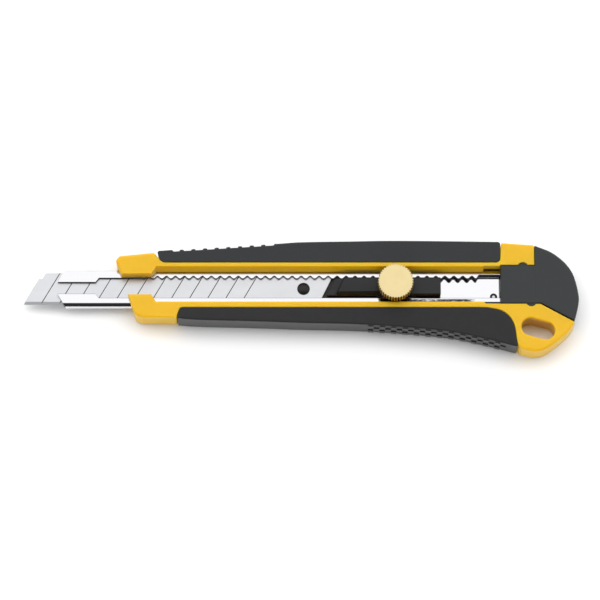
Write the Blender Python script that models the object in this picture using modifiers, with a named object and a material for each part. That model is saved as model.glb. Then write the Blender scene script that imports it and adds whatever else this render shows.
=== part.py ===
"""A 9 mm snap-off utility knife with a brass wheel lock, modelled piece by piece.

The knife lies on its back: the blade points to -X, the thumb wheel faces +Z and the
grip's belly is towards -Y. Sizes are in millimetres and MM turns them into metres.
Every mesh is drawn with Y = 0 on the rail's centre line; the empty "knife" shifts
the whole knife so that its middle lies about over the origin.
"""

import math

import bmesh
import bpy
from mathutils import Matrix, Vector

MM = 0.001

# Driving dimensions, in millimetres.
RAIL_CENTRE_Y = 3.27
HALF_LENGTH = 76.6
FIT_GAP = 0.2

BODY_TOP = 8.4
BODY_EDGE_ROUND = 0.5
CUT_OVER = 1.0
NOSE_FRONT_X = -51.2
GRIP_START_X = -39.6
LOWER_GRIP_START_X = -34.0
BODY_REAR_X = 64.2
LAND_HALF_WIDTH = 6.4
SLOT_UPPER_TOP_Y = 5.3
SLOT_UPPER_LIP_Y = 4.4
SLOT_LOWER_TOP_Y = -4.75
SLOT_LOWER_LIP_Y = -4.6
NOSE_SLOT_UPPER_Y = 3.3
NOSE_SLOT_LOWER_Y = -2.65
NOSE_SLOT_END_X = -41.3
SLOT_START_X = -40.0
REAR_POCKET_X = 50.2
REAR_POCKET_HALF = 5.4

RAIL_BOTTOM = 1.8
RAIL_TOP = 4.8
RAIL_SHEET = 0.6
RAIL_HALF_WIDTH = 5.45
RAIL_NOSE_X = -67.3
RAIL_REAR_X = 62.0
TOOTH_PITCH = 2.48
TOOTH_FIRST_X = -42.2
TOOTH_COUNT = 37
TOOTH_TIP_Y = 2.68
TOOTH_VALLEY_Y = 3.45
LIP_NOSE_UPPER_Y = 1.65
LIP_NOSE_LOWER_Y = -1.6
LIP_PLAIN_UPPER_Y = 2.85
LIP_PLAIN_LOWER_Y = -2.8
LIP_REAR_Y = 3.68
LIP_STEP_START_X = -56.8
LIP_STEP_END_X = -55.9

RIVET_PLACE = (53.1, -2.0)
RIVET_SHANK = 0.6
RIVET_HEAD = 1.05
RIVET_FOOT = 0.6
HOLE_PLAY = 0.15

BLADE_TOP = 3.9
BLADE_THICKNESS = 0.4
BLADE_HALF_WIDTH = 4.5
BLADE_TAIL_X = 4.7
BLADE_SHEAR = 64.0
GROUND_WIDTH = 0.8
HALF_EDGE = 0.04
SCORE_PITCH = 5.0
SCORE_COUNT = 12
SCORE_FIRST_X = -71.9
SCORE_LEAN = 60.0
SCORE_DEPTH = 0.1
SCORE_HALF_WIDTH = 0.16
BLADE_HOLE_X = 0.6
BLADE_HOLE_RADIUS = 1.75

CARRIER_BOTTOM = 2.65
CARRIER_TOP = 3.75
CARRIER_HALF_WIDTH = 4.35
CARRIER_NOSE_X = -2.4
CARRIER_STEP_X = 20.0
LOCK_WINDOW = ((20.55, -3.8), (31.75, 3.7))
SLIDER_REAR_X = 38.4
SCALLOP_PLACE = (8.3, -5.05)
SCALLOP_RADIUS = 1.5
PIN_HOLE_RADIUS = 1.2
PIN_RADIUS = 1.0
PIN_HEAD_RADIUS = 1.5
PIN_HEAD_TOP = 4.6
PEG_RADIUS = 1.0
COVER_PEGS = (15.0, 35.0)
COVER_BOTTOM = 4.05
COVER_TOP = 7.3
COVER_HALF_WIDTH = 2.45
COVER_FRONT_X = 8.4
COVER_FOOT_TOP = 6.2
COVER_BODY_X = 11.0
PLATE_ROOM = (20.4, 31.9)
PLATE_ROOM_HEIGHT = 0.45

WHEEL_X = 25.9
WHEEL_RADIUS = 4.93
WHEEL_BOTTOM = 8.7
WHEEL_TOP = 12.3
KNURL_COUNT = 40
KNURL_DEPTH = 0.35
WHEEL_CHAMFER = 0.35
WHEEL_BORE_TOP = 11.45
SCREW_RADIUS = 1.5
SCREW_TOP = 10.8
SCREW_HEAD_HALF = 2.6
SCREW_HEAD_BOTTOM = 2.65
SCREW_HEAD_TOP = 3.0
BORE_RADIUS = 1.75
WASHER_RADIUS = 3.3
FLAT_WASHER_BOTTOM = 7.36
FLAT_WASHER_TOP = 7.76
WAVE_WASHER_RADIUS = 3.1
WAVE_WASHER_BOTTOM = 7.86
WAVE_WASHER_TOP = 8.06
WAVE_HEIGHT = 0.2
PLATE_LOW = (20.9, -3.5, 3.1)
PLATE_HIGH = (31.4, 3.4, 3.6)
LOCK_BUMP_Y = 2.95
LOCK_BUMP_RADIUS = 0.34
LOCK_BUMP_TOP = 4.1
# The lock bumps stand under the tooth valley nearest the wheel on its nose side, and two more behind it.
LOCK_BUMP_FIRST_TOOTH = 27
LOCK_BUMP_COUNT = 3

CAP_FRONT_X = 54.9
TONGUE_BOTTOM = 5.0
TONGUE_TOP = 8.3
TONGUE_UPPER_Y = 5.6
TONGUE_LOWER_Y = -5.3
SNAP_WIDTH = 2.5
SNAP_HEIGHT = 0.75
SNAP_UPPER_X = 61.0
SNAP_LOWER_X = 63.2
SNAP_BOTTOM = 6.6
SNAP_TOP = 8.0
SNAP_GROOVE_LENGTH = 8.0

LANYARD_CENTRE = (65.0, -12.4)
LANYARD_LENGTH = 9.3
LANYARD_WIDTH = 5.1
LANYARD_TILT = -15.5

# Where the yellow shell meets each rubber grip, from the nose to the rear.
UPPER_SEAM = [
    (GRIP_START_X, 9.35),
    (-39.4, 8.2),
    (-38.8, 7.1),
    (-38.0, 6.6),
    (-36.8, LAND_HALF_WIDTH),
    (53.2, LAND_HALF_WIDTH),
    (54.2, 6.65),
    (54.75, 7.5),
    (54.9, 9.4),
    (54.8, 12.3),
]
LOWER_SEAM = [
    (LOWER_GRIP_START_X, -9.5),
    (-33.8, -7.6),
    (-33.3, -6.8),
    (-32.4, -LAND_HALF_WIDTH),
    (50.0, -LAND_HALF_WIDTH),
    (52.6, -6.65),
    (54.9, -7.3),
    (56.5, -8.4),
    (57.9, -10.0),
    (58.6, -12.0),
    (59.0, -15.0),
    (59.7, -18.15),
]
# Outer edge of each grip, without its bumps.
UPPER_EDGE = [
    (-39.6, 9.35),
    (-28.0, 10.0),
    (-8.0, 11.3),
    (0.0, 11.98),
    (16.0, 12.5),
    (27.0, 12.66),
    (41.0, 12.5),
    (54.8, 12.3),
]
LOWER_EDGE = [
    (-34.0, -9.5),
    (-28.0, -10.0),
    (-14.0, -10.35),
    (0.0, -10.85),
    (18.0, -11.35),
    (38.3, -13.05),
    (49.4, -15.2),
    (59.7, -17.95),
]
GRIP_BUMP_COUNT = 8
GRIP_BUMP_FIRST_X = -33.0
GRIP_BUMP_PITCH = 3.215
GRIP_BUMP_WIDTH = 1.4
GRIP_BUMP_HEIGHT = 0.4
GRIP_PAD_END_X = -35.6
GRIP_STEP_X = -7.8
GRIP_BOTTOM = 0.2
GRIP_WALL = 2.3
FLANGE_BOTTOM = 2.7
FLANGE_TOP = 5.7
FLANGE_ROOT = 0.4
UPPER_FLANGE_X = (-38.4, 53.6)
LOWER_FLANGE_X = (-32.6, 62.0)

YELLOW = (0.836, 0.509, 0.042)
DARK_RUBBER = (0.045, 0.048, 0.052)
CAP_GREY = (0.052, 0.056, 0.062)
BLACK_PLASTIC = (0.022, 0.024, 0.027)
STEEL = (0.72, 0.73, 0.74)
DARK_STEEL = (0.12, 0.12, 0.13)
BRASS = (0.80, 0.66, 0.34)


# --- Scene, collections and materials ---


def clear_scene():
    for thing in list(bpy.data.objects):
        bpy.data.objects.remove(thing, do_unlink=True)


def new_collection(name, hidden):
    group = bpy.data.collections.new(name)
    group.hide_render = hidden
    bpy.context.scene.collection.children.link(group)
    return group


def empty_at(name, location, parent):
    holder = bpy.data.objects.new(name, None)
    holder.location = Vector(location) * MM
    holder.parent = parent
    PARTS.objects.link(holder)
    return holder


def finish_of(name, colour, roughness, metallic):
    made = bpy.data.materials.new(name)
    made.use_nodes = True
    shader = made.node_tree.nodes["Principled BSDF"]
    shader.inputs["Base Color"].default_value = (*colour, 1.0)
    shader.inputs["Roughness"].default_value = roughness
    shader.inputs["Metallic"].default_value = metallic
    made.diffuse_color = (*colour, 1.0)
    return made


# --- Outlines ---


def arc(centre, radius, start, end, steps):
    """Points on a circle from one angle to the other, in degrees, both ends included."""
    angles = [math.radians(start + (end - start) * i / steps) for i in range(steps + 1)]
    return [(centre[0] + radius * math.cos(a), centre[1] + radius * math.sin(a)) for a in angles]


def smooth_line(points, steps):
    """A Catmull-Rom line through the points, with this many steps between two of them."""
    ends = [points[0], *points, points[-1]]
    line = []
    for a, b, c, d in zip(ends, ends[1:], ends[2:], ends[3:]):
        for step in range(steps):
            t = step / steps
            line.append(
                tuple(
                    b[k]
                    + 0.5 * t * (c[k] - a[k])
                    + t * t * (a[k] - 2.5 * b[k] + 2 * c[k] - 0.5 * d[k])
                    + t * t * t * (1.5 * (b[k] - c[k]) + 0.5 * (d[k] - a[k]))
                    for k in (0, 1)
                )
            )
    return [*line, points[-1]]


def height_at(line, x):
    """The Y of a line drawn from left to right, at this X."""
    for (x0, y0), (x1, y1) in zip(line, line[1:]):
        if x <= x1:
            return y0 + (y1 - y0) * (x - x0) / (x1 - x0)
    return line[-1][1]


def shifted(line, distance):
    """The line moved to its left by a distance, each point along the mean normal."""
    moved = []
    for i, (x, y) in enumerate(line):
        before = line[max(i - 1, 0)]
        after = line[min(i + 1, len(line) - 1)]
        along = Vector((after[0] - before[0], after[1] - before[1])).normalized()
        moved.append((x - along.y * distance, y + along.x * distance))
    return moved


def edge_piece(line, start_x, end_x, pitch):
    """Points of a line between two X values, evenly spaced, about a pitch apart."""
    steps = max(1, round((end_x - start_x) / pitch))
    places = [start_x + (end_x - start_x) * i / steps for i in range(steps + 1)]
    return [(x, height_at(line, x)) for x in places]


# --- Solids ---


def adopt(name, mesh, group, parent=None, finish=None):
    thing = bpy.data.objects.new(name, mesh)
    thing.parent = parent
    group.objects.link(thing)
    if finish:
        mesh.materials.clear()
        mesh.materials.append(finish)
    return thing


def extruded(name, outline, low, high, along="z"):
    """A closed outline in millimetres, extruded along z from low to high, or along x."""
    curve = bpy.data.curves.new(name, "CURVE")
    curve.dimensions = "2D"
    curve.fill_mode = "BOTH"
    curve.extrude = (high - low) / 2 * MM
    spline = curve.splines.new("POLY")
    spline.points.add(len(outline) - 1)
    for point, (x, y) in zip(spline.points, outline):
        point.co = (x * MM, y * MM, 0.0, 1.0)
    spline.use_cyclic_u = True
    holder = bpy.data.objects.new(name, curve)
    bpy.context.scene.collection.objects.link(holder)
    graph = bpy.context.evaluated_depsgraph_get()
    mesh = bpy.data.meshes.new_from_object(holder.evaluated_get(graph))
    bpy.data.objects.remove(holder)
    bpy.data.curves.remove(curve)
    mesh.transform(Matrix.Translation((0.0, 0.0, (low + high) / 2 * MM)))
    if along == "x":
        mesh.transform(Matrix(((0, 0, 1, 0), (1, 0, 0, 0), (0, 1, 0, 0), (0, 0, 0, 1))))
    clean(mesh)
    return mesh


def clean(mesh):
    """Welds the caps, joins flat triangles into faces and turns every face outwards."""
    work = bmesh.new()
    work.from_mesh(mesh)
    bmesh.ops.remove_doubles(work, verts=work.verts, dist=1e-7)
    bmesh.ops.dissolve_limit(work, angle_limit=math.radians(0.5), verts=work.verts, edges=work.edges)
    bmesh.ops.recalc_face_normals(work, faces=work.faces)
    work.to_mesh(mesh)
    work.free()


def box_mesh(name, lows, highs):
    mesh = bpy.data.meshes.new(name)
    work = bmesh.new()
    bmesh.ops.create_cube(work, size=1.0)
    for vertex in work.verts:
        place = [low if c < 0 else high for c, low, high in zip(vertex.co, lows, highs)]
        vertex.co = Vector(place) * MM
    work.to_mesh(mesh)
    work.free()
    return mesh


def round_mesh(name, centre, radius, low, high, sides=48):
    mesh = bpy.data.meshes.new(name)
    work = bmesh.new()
    wide, tall = radius * MM, (high - low) * MM
    bmesh.ops.create_cone(work, cap_ends=True, segments=sides, radius1=wide, radius2=wide, depth=tall)
    work.to_mesh(mesh)
    work.free()
    mesh.transform(Matrix.Translation(Vector((centre[0], centre[1], (low + high) / 2)) * MM))
    return mesh


def turned_object(name, profile, centre, parent, finish, group, sides=48):
    """A profile of (radius, height) points, top to bottom, turned about a vertical axis."""
    mesh = bpy.data.meshes.new(name)
    points = [Vector((radius, 0.0, height)) * MM for radius, height in profile]
    mesh.from_pydata(points, [(i, i + 1) for i in range(len(points) - 1)], [])
    thing = adopt(name, mesh, group, parent, finish)
    thing.location = Vector((centre[0], centre[1], 0.0)) * MM
    screw = thing.modifiers.new("Turn", "SCREW")
    screw.steps = sides
    screw.render_steps = sides
    screw.use_merge_vertices = True
    screw.merge_threshold = 0.00001
    screw.use_smooth_shade = True
    return thing


def rounded_edges(thing, width, segments, angle=40.0):
    bevel = thing.modifiers.new("Edges", "BEVEL")
    bevel.width = width * MM
    bevel.segments = segments
    bevel.limit_method = "ANGLE"
    bevel.angle_limit = math.radians(angle)


def combine(thing, name, mesh, operation):
    """Cuts, joins or crops a piece with a helper mesh, which stays as a hidden wire object."""
    helper = adopt(name, mesh, CUTTERS, thing.parent)
    helper.hide_render = True
    helper.display_type = "WIRE"
    step = thing.modifiers.new(name, "BOOLEAN")
    step.operation = operation
    step.solver = "EXACT"
    step.object = helper
    return helper


def cut(thing, name, mesh):
    return combine(thing, name, mesh, "DIFFERENCE")


def join(thing, name, mesh):
    return combine(thing, name, mesh, "UNION")


def set_origin(thing, place):
    """Moves a piece's origin to a point in its parent's frame and leaves its shape where it is."""
    point = Vector(place) * MM
    thing.data.transform(Matrix.Translation(thing.location - point))
    thing.location = point


# --- The handle: shell, grips, rail and its rivet ---


def grip_flange(edge, sign, grow):
    """Plan of the shell's flange inside a grip; grow makes the grip's groove larger than it."""
    start_x, end_x = UPPER_FLANGE_X if sign > 0 else LOWER_FLANGE_X
    wall = GRIP_WALL - grow
    outer = edge_piece(edge, start_x - grow, end_x + grow, 6.0)
    outer = [(x, y - sign * wall) for x, y in outer]
    root = sign * (LAND_HALF_WIDTH - FLANGE_ROOT - grow)
    return [(start_x - grow, root), *outer, (end_x + grow, root)]


def shell_outline():
    upper = shifted(UPPER_SEAM, -FIT_GAP / 2)
    lower = shifted(LOWER_SEAM, FIT_GAP / 2)
    nose_upper = [(-49.5, 3.0), (NOSE_FRONT_X, 7.06), (-50.6, 7.95), (-49.5, 8.34), (-40.6, 9.26)]
    nose_lower = [(-34.3, -9.2), (-43.4, -9.2), (-44.7, -9.0), (-45.5, -8.3), (-47.9, -3.0)]
    corner = smooth_line([(75.05, -10.75), (73.7, -12.7), (71.7, -14.75), (69.4, -16.6), (67.4, -17.95)], 2)
    corner += [(65.5, -18.7), (63.2, -18.85), (61.4, -18.6), (59.95, -18.2)]
    rear = [(55.1, 11.9), (BODY_REAR_X, 11.3), (BODY_REAR_X, -5.4), (65.7, -5.4)]
    return nose_upper + upper[1:-1] + rear + corner + lower[-2:0:-1] + nose_lower


def slot_section():
    """The slot over the rail: narrow at its lips, wider at the top face, and wider on its +Y side."""
    low = RAIL_TOP - 0.3
    lip = RAIL_TOP + 0.6
    top = BODY_TOP + CUT_OVER
    right = [
        (SLOT_UPPER_LIP_Y, low),
        (SLOT_UPPER_LIP_Y, lip),
        (SLOT_UPPER_TOP_Y, BODY_TOP),
        (SLOT_UPPER_TOP_Y, top),
    ]
    left = [
        (SLOT_LOWER_TOP_Y, top),
        (SLOT_LOWER_TOP_Y, BODY_TOP),
        (SLOT_LOWER_LIP_Y, lip),
        (SLOT_LOWER_LIP_Y, low),
    ]
    return right + left


def nose_slot_outline():
    """Plan of the slot's narrow front end, which widens on a slant into the slot behind it."""
    return [
        (NOSE_FRONT_X - CUT_OVER, NOSE_SLOT_LOWER_Y),
        (NOSE_SLOT_END_X, NOSE_SLOT_LOWER_Y),
        (SLOT_START_X, SLOT_LOWER_LIP_Y),
        (SLOT_START_X + 0.5, SLOT_LOWER_LIP_Y),
        (SLOT_START_X + 0.5, SLOT_UPPER_LIP_Y),
        (SLOT_START_X, SLOT_UPPER_LIP_Y),
        (NOSE_SLOT_END_X, NOSE_SLOT_UPPER_Y),
        (NOSE_FRONT_X - CUT_OVER, NOSE_SLOT_UPPER_Y),
    ]


def stadium(length, width, centre, tilt, steps):
    """A slot outline with round ends, turned by an angle in degrees."""
    reach = (length - width) / 2
    flat = arc((reach, 0.0), width / 2, -90, 90, steps) + arc((-reach, 0.0), width / 2, 90, 270, steps)
    turn = math.radians(tilt)
    cosine, sine = math.cos(turn), math.sin(turn)
    return [(centre[0] + x * cosine - y * sine, centre[1] + x * sine + y * cosine) for x, y in flat]


def snap_circle(side):
    """Centre and radius of the round snap bump on one side of the cap's tongue."""
    radius = (SNAP_WIDTH**2 / 4 + SNAP_HEIGHT**2) / (2 * SNAP_HEIGHT)
    if side > 0:
        return (SNAP_UPPER_X, TONGUE_UPPER_Y + SNAP_HEIGHT - radius), radius
    return (SNAP_LOWER_X, TONGUE_LOWER_Y - SNAP_HEIGHT + radius), radius


def body_shell(parent):
    mesh = extruded("body_shell", shell_outline(), 0.0, BODY_TOP)
    shell = adopt("body_shell", mesh, PARTS, parent, ABS_YELLOW)
    rounded_edges(shell, BODY_EDGE_ROUND, 2)
    for name, edge, sign in (("upper", UPPER_EDGE, 1), ("lower", LOWER_EDGE, -1)):
        flange = extruded(f"{name}_flange", grip_flange(edge, sign, 0.0), FLANGE_BOTTOM, FLANGE_TOP)
        join(shell, f"{name}_flange", flange)
    rail_room = RAIL_HALF_WIDTH + FIT_GAP
    cut(
        shell,
        "rail_pocket",
        box_mesh(
            "rail_pocket",
            (NOSE_FRONT_X - 2, -rail_room, RAIL_BOTTOM - FIT_GAP),
            (BODY_REAR_X + 1, rail_room, RAIL_TOP + FIT_GAP),
        ),
    )
    slot_end = REAR_POCKET_X + CUT_OVER
    cut(shell, "top_slot", extruded("top_slot", slot_section(), SLOT_START_X, slot_end, "x"))
    nose_slot = extruded("nose_slot", nose_slot_outline(), RAIL_TOP - 0.4, BODY_TOP + CUT_OVER)
    cut(shell, "nose_slot", nose_slot)
    pocket_low = (REAR_POCKET_X, -REAR_POCKET_HALF, RAIL_TOP - 0.2)
    pocket_high = (CAP_FRONT_X, REAR_POCKET_HALF, BODY_TOP + 1.5)
    cut(shell, "rear_pocket", box_mesh("rear_pocket", pocket_low, pocket_high))
    tongue_low = (CAP_FRONT_X - FIT_GAP, TONGUE_LOWER_Y - FIT_GAP, RAIL_TOP - 0.1)
    tongue_high = (BODY_REAR_X + 2, TONGUE_UPPER_Y + FIT_GAP, BODY_TOP + 2)
    cut(shell, "tongue_pocket", box_mesh("tongue_pocket", tongue_low, tongue_high))
    for side in (1, -1):
        snap_window(shell, side)
    hole = stadium(LANYARD_LENGTH, LANYARD_WIDTH, LANYARD_CENTRE, LANYARD_TILT, 12)
    cut(shell, "lanyard_hole", extruded("lanyard_hole", hole, -1.0, BODY_TOP + 1))
    rivet_room = round_mesh(
        "rivet_hole", RIVET_PLACE, RIVET_SHANK + HOLE_PLAY, RIVET_FOOT - FIT_GAP, RAIL_BOTTOM, 24
    )
    cut(shell, "rivet_hole", rivet_room)
    return shell


def snap_window(shell, side):
    """A round window for a snap bump and, under a thin skin, the groove it leaves by."""
    centre, radius = snap_circle(side)
    window = round_mesh("window", centre, radius + FIT_GAP, SNAP_BOTTOM - FIT_GAP, BODY_TOP + 1)
    cut(shell, f"snap_window_{'upper' if side > 0 else 'lower'}", window)
    reach = centre[1] + side * (radius + FIT_GAP)
    near, far = sorted((centre[1], reach))
    groove_low = (centre[0], near, SNAP_BOTTOM - FIT_GAP)
    groove_high = (centre[0] + SNAP_GROOVE_LENGTH, far, SNAP_TOP + FIT_GAP / 2)
    groove = box_mesh("groove", groove_low, groove_high)
    cut(shell, f"snap_groove_{'upper' if side > 0 else 'lower'}", groove)


def grip_bumps():
    """Outer edge of the upper grip from the rear to the nose, with its step, bumps and pad."""
    step_top = height_at(UPPER_EDGE, GRIP_STEP_X) + GRIP_BUMP_HEIGHT
    edge = smooth_line(UPPER_EDGE[3:], 3)
    line = list(reversed(edge))
    line += [(GRIP_STEP_X + 0.5, step_top), (GRIP_STEP_X, height_at(UPPER_EDGE, GRIP_STEP_X))]
    for i in reversed(range(GRIP_BUMP_COUNT)):
        centre = GRIP_BUMP_FIRST_X + GRIP_BUMP_PITCH * i
        base = height_at(UPPER_EDGE, centre)
        slope = height_at(UPPER_EDGE, centre + 1) - base
        for angle in range(0, 181, 30):
            across = math.cos(math.radians(angle)) * GRIP_BUMP_WIDTH / 2
            rise = math.sin(math.radians(angle)) * GRIP_BUMP_HEIGHT
            line.append((centre + across, base + slope * across + rise))
    pad = height_at(UPPER_EDGE, GRIP_PAD_END_X)
    line += [(GRIP_PAD_END_X + 0.3, pad), (GRIP_PAD_END_X, pad + GRIP_BUMP_HEIGHT)]
    return [*line, (GRIP_START_X + 0.6, 9.75)]


def upper_grip(parent):
    outline = [*shifted(UPPER_SEAM, FIT_GAP / 2), *grip_bumps()]
    mesh = extruded("upper_grip", outline, GRIP_BOTTOM, BODY_TOP)
    grip = adopt("upper_grip", mesh, PARTS, parent, GRIP_RUBBER)
    rounded_edges(grip, 0.3, 1, 60.0)
    room = grip_flange(UPPER_EDGE, 1, FIT_GAP)
    groove = extruded("upper_groove", room, FLANGE_BOTTOM - FIT_GAP, FLANGE_TOP + FIT_GAP)
    cut(grip, "upper_groove", groove)
    return grip


def lower_grip(parent):
    edge = smooth_line(LOWER_EDGE, 3)
    outline = [*shifted(LOWER_SEAM, -FIT_GAP / 2), *reversed(edge[1:-1])]
    mesh = extruded("lower_grip", outline, GRIP_BOTTOM, BODY_TOP)
    grip = adopt("lower_grip", mesh, PARTS, parent, GRIP_RUBBER)
    rounded_edges(grip, 0.4, 2, 60.0)
    room = grip_flange(LOWER_EDGE, -1, FIT_GAP)
    groove = extruded("lower_groove", room, FLANGE_BOTTOM - FIT_GAP, FLANGE_TOP + FIT_GAP)
    cut(grip, "lower_groove", groove)
    return grip


def rail_section(shrink):
    """The rail's round-sided section; shrink gives the hollow inside its sheet."""
    height = RAIL_TOP - RAIL_BOTTOM - 2 * shrink
    middle = (RAIL_TOP + RAIL_BOTTOM) / 2
    reach = RAIL_HALF_WIDTH - (RAIL_TOP - RAIL_BOTTOM) / 2
    right = arc((reach, middle), height / 2, -90, 90, 8)
    left = arc((-reach, middle), height / 2, 90, 270, 8)
    return right + left


def tooth_y(x):
    """The toothed lip's wave: a valley at each pitch from the first one."""
    middle = (TOOTH_TIP_Y + TOOTH_VALLEY_Y) / 2
    swing = (TOOTH_VALLEY_Y - TOOTH_TIP_Y) / 2
    return middle + swing * math.cos(2 * math.pi * (x - TOOTH_FIRST_X) / TOOTH_PITCH)


def rail_mouth():
    """Plan of the opening between the rail's two folded lips."""
    last = TOOTH_FIRST_X + TOOTH_PITCH * (TOOTH_COUNT - 1)
    places = [TOOTH_FIRST_X - TOOTH_PITCH / 2 + TOOTH_PITCH * i / 8 for i in range(8 * TOOTH_COUNT + 1)]
    teeth = [(x, tooth_y(x)) for x in places if x <= last + TOOTH_PITCH / 2]
    front, rear = RAIL_NOSE_X - CUT_OVER, RAIL_REAR_X + CUT_OVER
    lower = [
        (rear, LIP_PLAIN_LOWER_Y),
        (LIP_STEP_END_X, LIP_PLAIN_LOWER_Y),
        (LIP_STEP_START_X, LIP_NOSE_LOWER_Y),
        (front, LIP_NOSE_LOWER_Y),
    ]
    upper = [
        (front, LIP_NOSE_UPPER_Y),
        (LIP_STEP_START_X, LIP_NOSE_UPPER_Y),
        (LIP_STEP_END_X, LIP_PLAIN_UPPER_Y),
        (-43.9, LIP_PLAIN_UPPER_Y),
    ]
    return upper + teeth + [(49.0, LIP_REAR_Y), (rear, LIP_REAR_Y)] + lower


def rail_nose_outline():
    """Plan of what the slanted nose cut takes away from the rail."""
    return [
        (RAIL_NOSE_X - 2, -7.0),
        (-64.7, -7.0),
        (RAIL_NOSE_X, -1.64),
        (RAIL_NOSE_X + 0.1, 1.7),
        (-65.2, 5.45),
        (-64.6, 7.0),
        (RAIL_NOSE_X - 2, 7.0),
    ]


def blade_channel(parent):
    mesh = extruded("blade_channel", rail_section(0.0), RAIL_NOSE_X - 0.5, RAIL_REAR_X, "x")
    rail = adopt("blade_channel", mesh, PARTS, parent, STAINLESS)
    hollow = extruded("rail_hollow", rail_section(RAIL_SHEET), RAIL_NOSE_X - 3, RAIL_REAR_X + 3, "x")
    cut(rail, "rail_hollow", hollow)
    cut(rail, "rail_mouth", extruded("rail_mouth", rail_mouth(), RAIL_TOP - RAIL_SHEET - 0.5, RAIL_TOP + 0.5))
    nose_cut = extruded("rail_nose_cut", rail_nose_outline(), RAIL_BOTTOM - CUT_OVER, RAIL_TOP + CUT_OVER)
    cut(rail, "rail_nose_cut", nose_cut)
    hole_radius = RIVET_SHANK + HOLE_PLAY
    hole = round_mesh("rail_rivet_hole", RIVET_PLACE, hole_radius, RAIL_BOTTOM - 1, RAIL_BOTTOM + 1, 24)
    cut(rail, "rail_rivet_hole", hole)
    return rail


def channel_rivet(parent):
    seat = RAIL_BOTTOM + RAIL_SHEET + 0.1
    profile = [(0.0, seat + 0.55), (0.55, seat + 0.45), (0.9, seat + 0.25), (RIVET_HEAD, seat)]
    profile += [(RIVET_SHANK, seat), (RIVET_SHANK, RIVET_FOOT), (0.0, RIVET_FOOT)]
    return turned_object("channel_rivet", profile, RIVET_PLACE, parent, DARK_METAL, PARTS, 24)


# --- The slider: blade, carrier, cover and lock ---


def blade_outline():
    rise = 2 * BLADE_HALF_WIDTH / math.tan(math.radians(BLADE_SHEAR))
    nose = [(-HALF_LENGTH, -BLADE_HALF_WIDTH), (BLADE_TAIL_X, -BLADE_HALF_WIDTH)]
    back = [(BLADE_TAIL_X + rise, BLADE_HALF_WIDTH), (-70.6, BLADE_HALF_WIDTH), (-71.5, 2.9), (-72.5, 2.9)]
    return nose + back


def blade(parent):
    bottom = BLADE_TOP - BLADE_THICKNESS
    mesh = extruded("blade", blade_outline(), bottom, BLADE_TOP)
    piece = adopt("blade", mesh, PARTS, parent, BLADE_STEEL)
    edge = -BLADE_HALF_WIDTH
    land = edge + GROUND_WIDTH
    middle = BLADE_TOP - BLADE_THICKNESS / 2
    for name, side in (("grind_top", 1), ("grind_back", -1)):
        face = middle + side * BLADE_THICKNESS / 2
        slope = (face - middle - side * HALF_EDGE) / GROUND_WIDTH
        section = [
            (edge - 0.5, middle + side * HALF_EDGE - slope * 0.5),
            (land + 0.2, face + slope * 0.2),
            (land + 0.2, face + side * 0.5),
            (edge - 0.5, face + side * 0.5),
        ]
        cut(piece, name, extruded(name, section, -HALF_LENGTH - 2, BLADE_TAIL_X + 8, "x"))
    hole_place = (BLADE_HOLE_X, 0.0)
    hole = round_mesh("blade_hole", hole_place, BLADE_HOLE_RADIUS, bottom - 1, BLADE_TOP + 1, 32)
    cut(piece, "blade_hole", hole)
    for i in range(SCORE_COUNT):
        score_line(piece, i)
    return piece


def score_line(piece, number):
    """A shallow V across the blade's face, where a segment snaps off."""
    start = SCORE_FIRST_X + SCORE_PITCH * number
    lean = 1 / math.tan(math.radians(SCORE_LEAN))
    half = SCORE_HALF_WIDTH
    section = [(-half, 0.0), (0.0, -SCORE_DEPTH), (half, 0.0), (half, 0.3), (-half, 0.3)]
    reach = BLADE_HALF_WIDTH + 1
    groove = extruded("score", section, -reach, reach, "x")
    # The groove runs along X, so its axes are turned to run across the blade and then sheared.
    groove.transform(Matrix(((lean, 1, 0, 0), (1, 0, 0, 0), (0, 0, 1, 0), (0, 0, 0, 1))))
    clean(groove)
    groove.transform(Matrix.Translation(Vector((start + lean * BLADE_HALF_WIDTH, 0.0, BLADE_TOP)) * MM))
    cut(piece, f"score_{number + 1}", groove)


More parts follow.
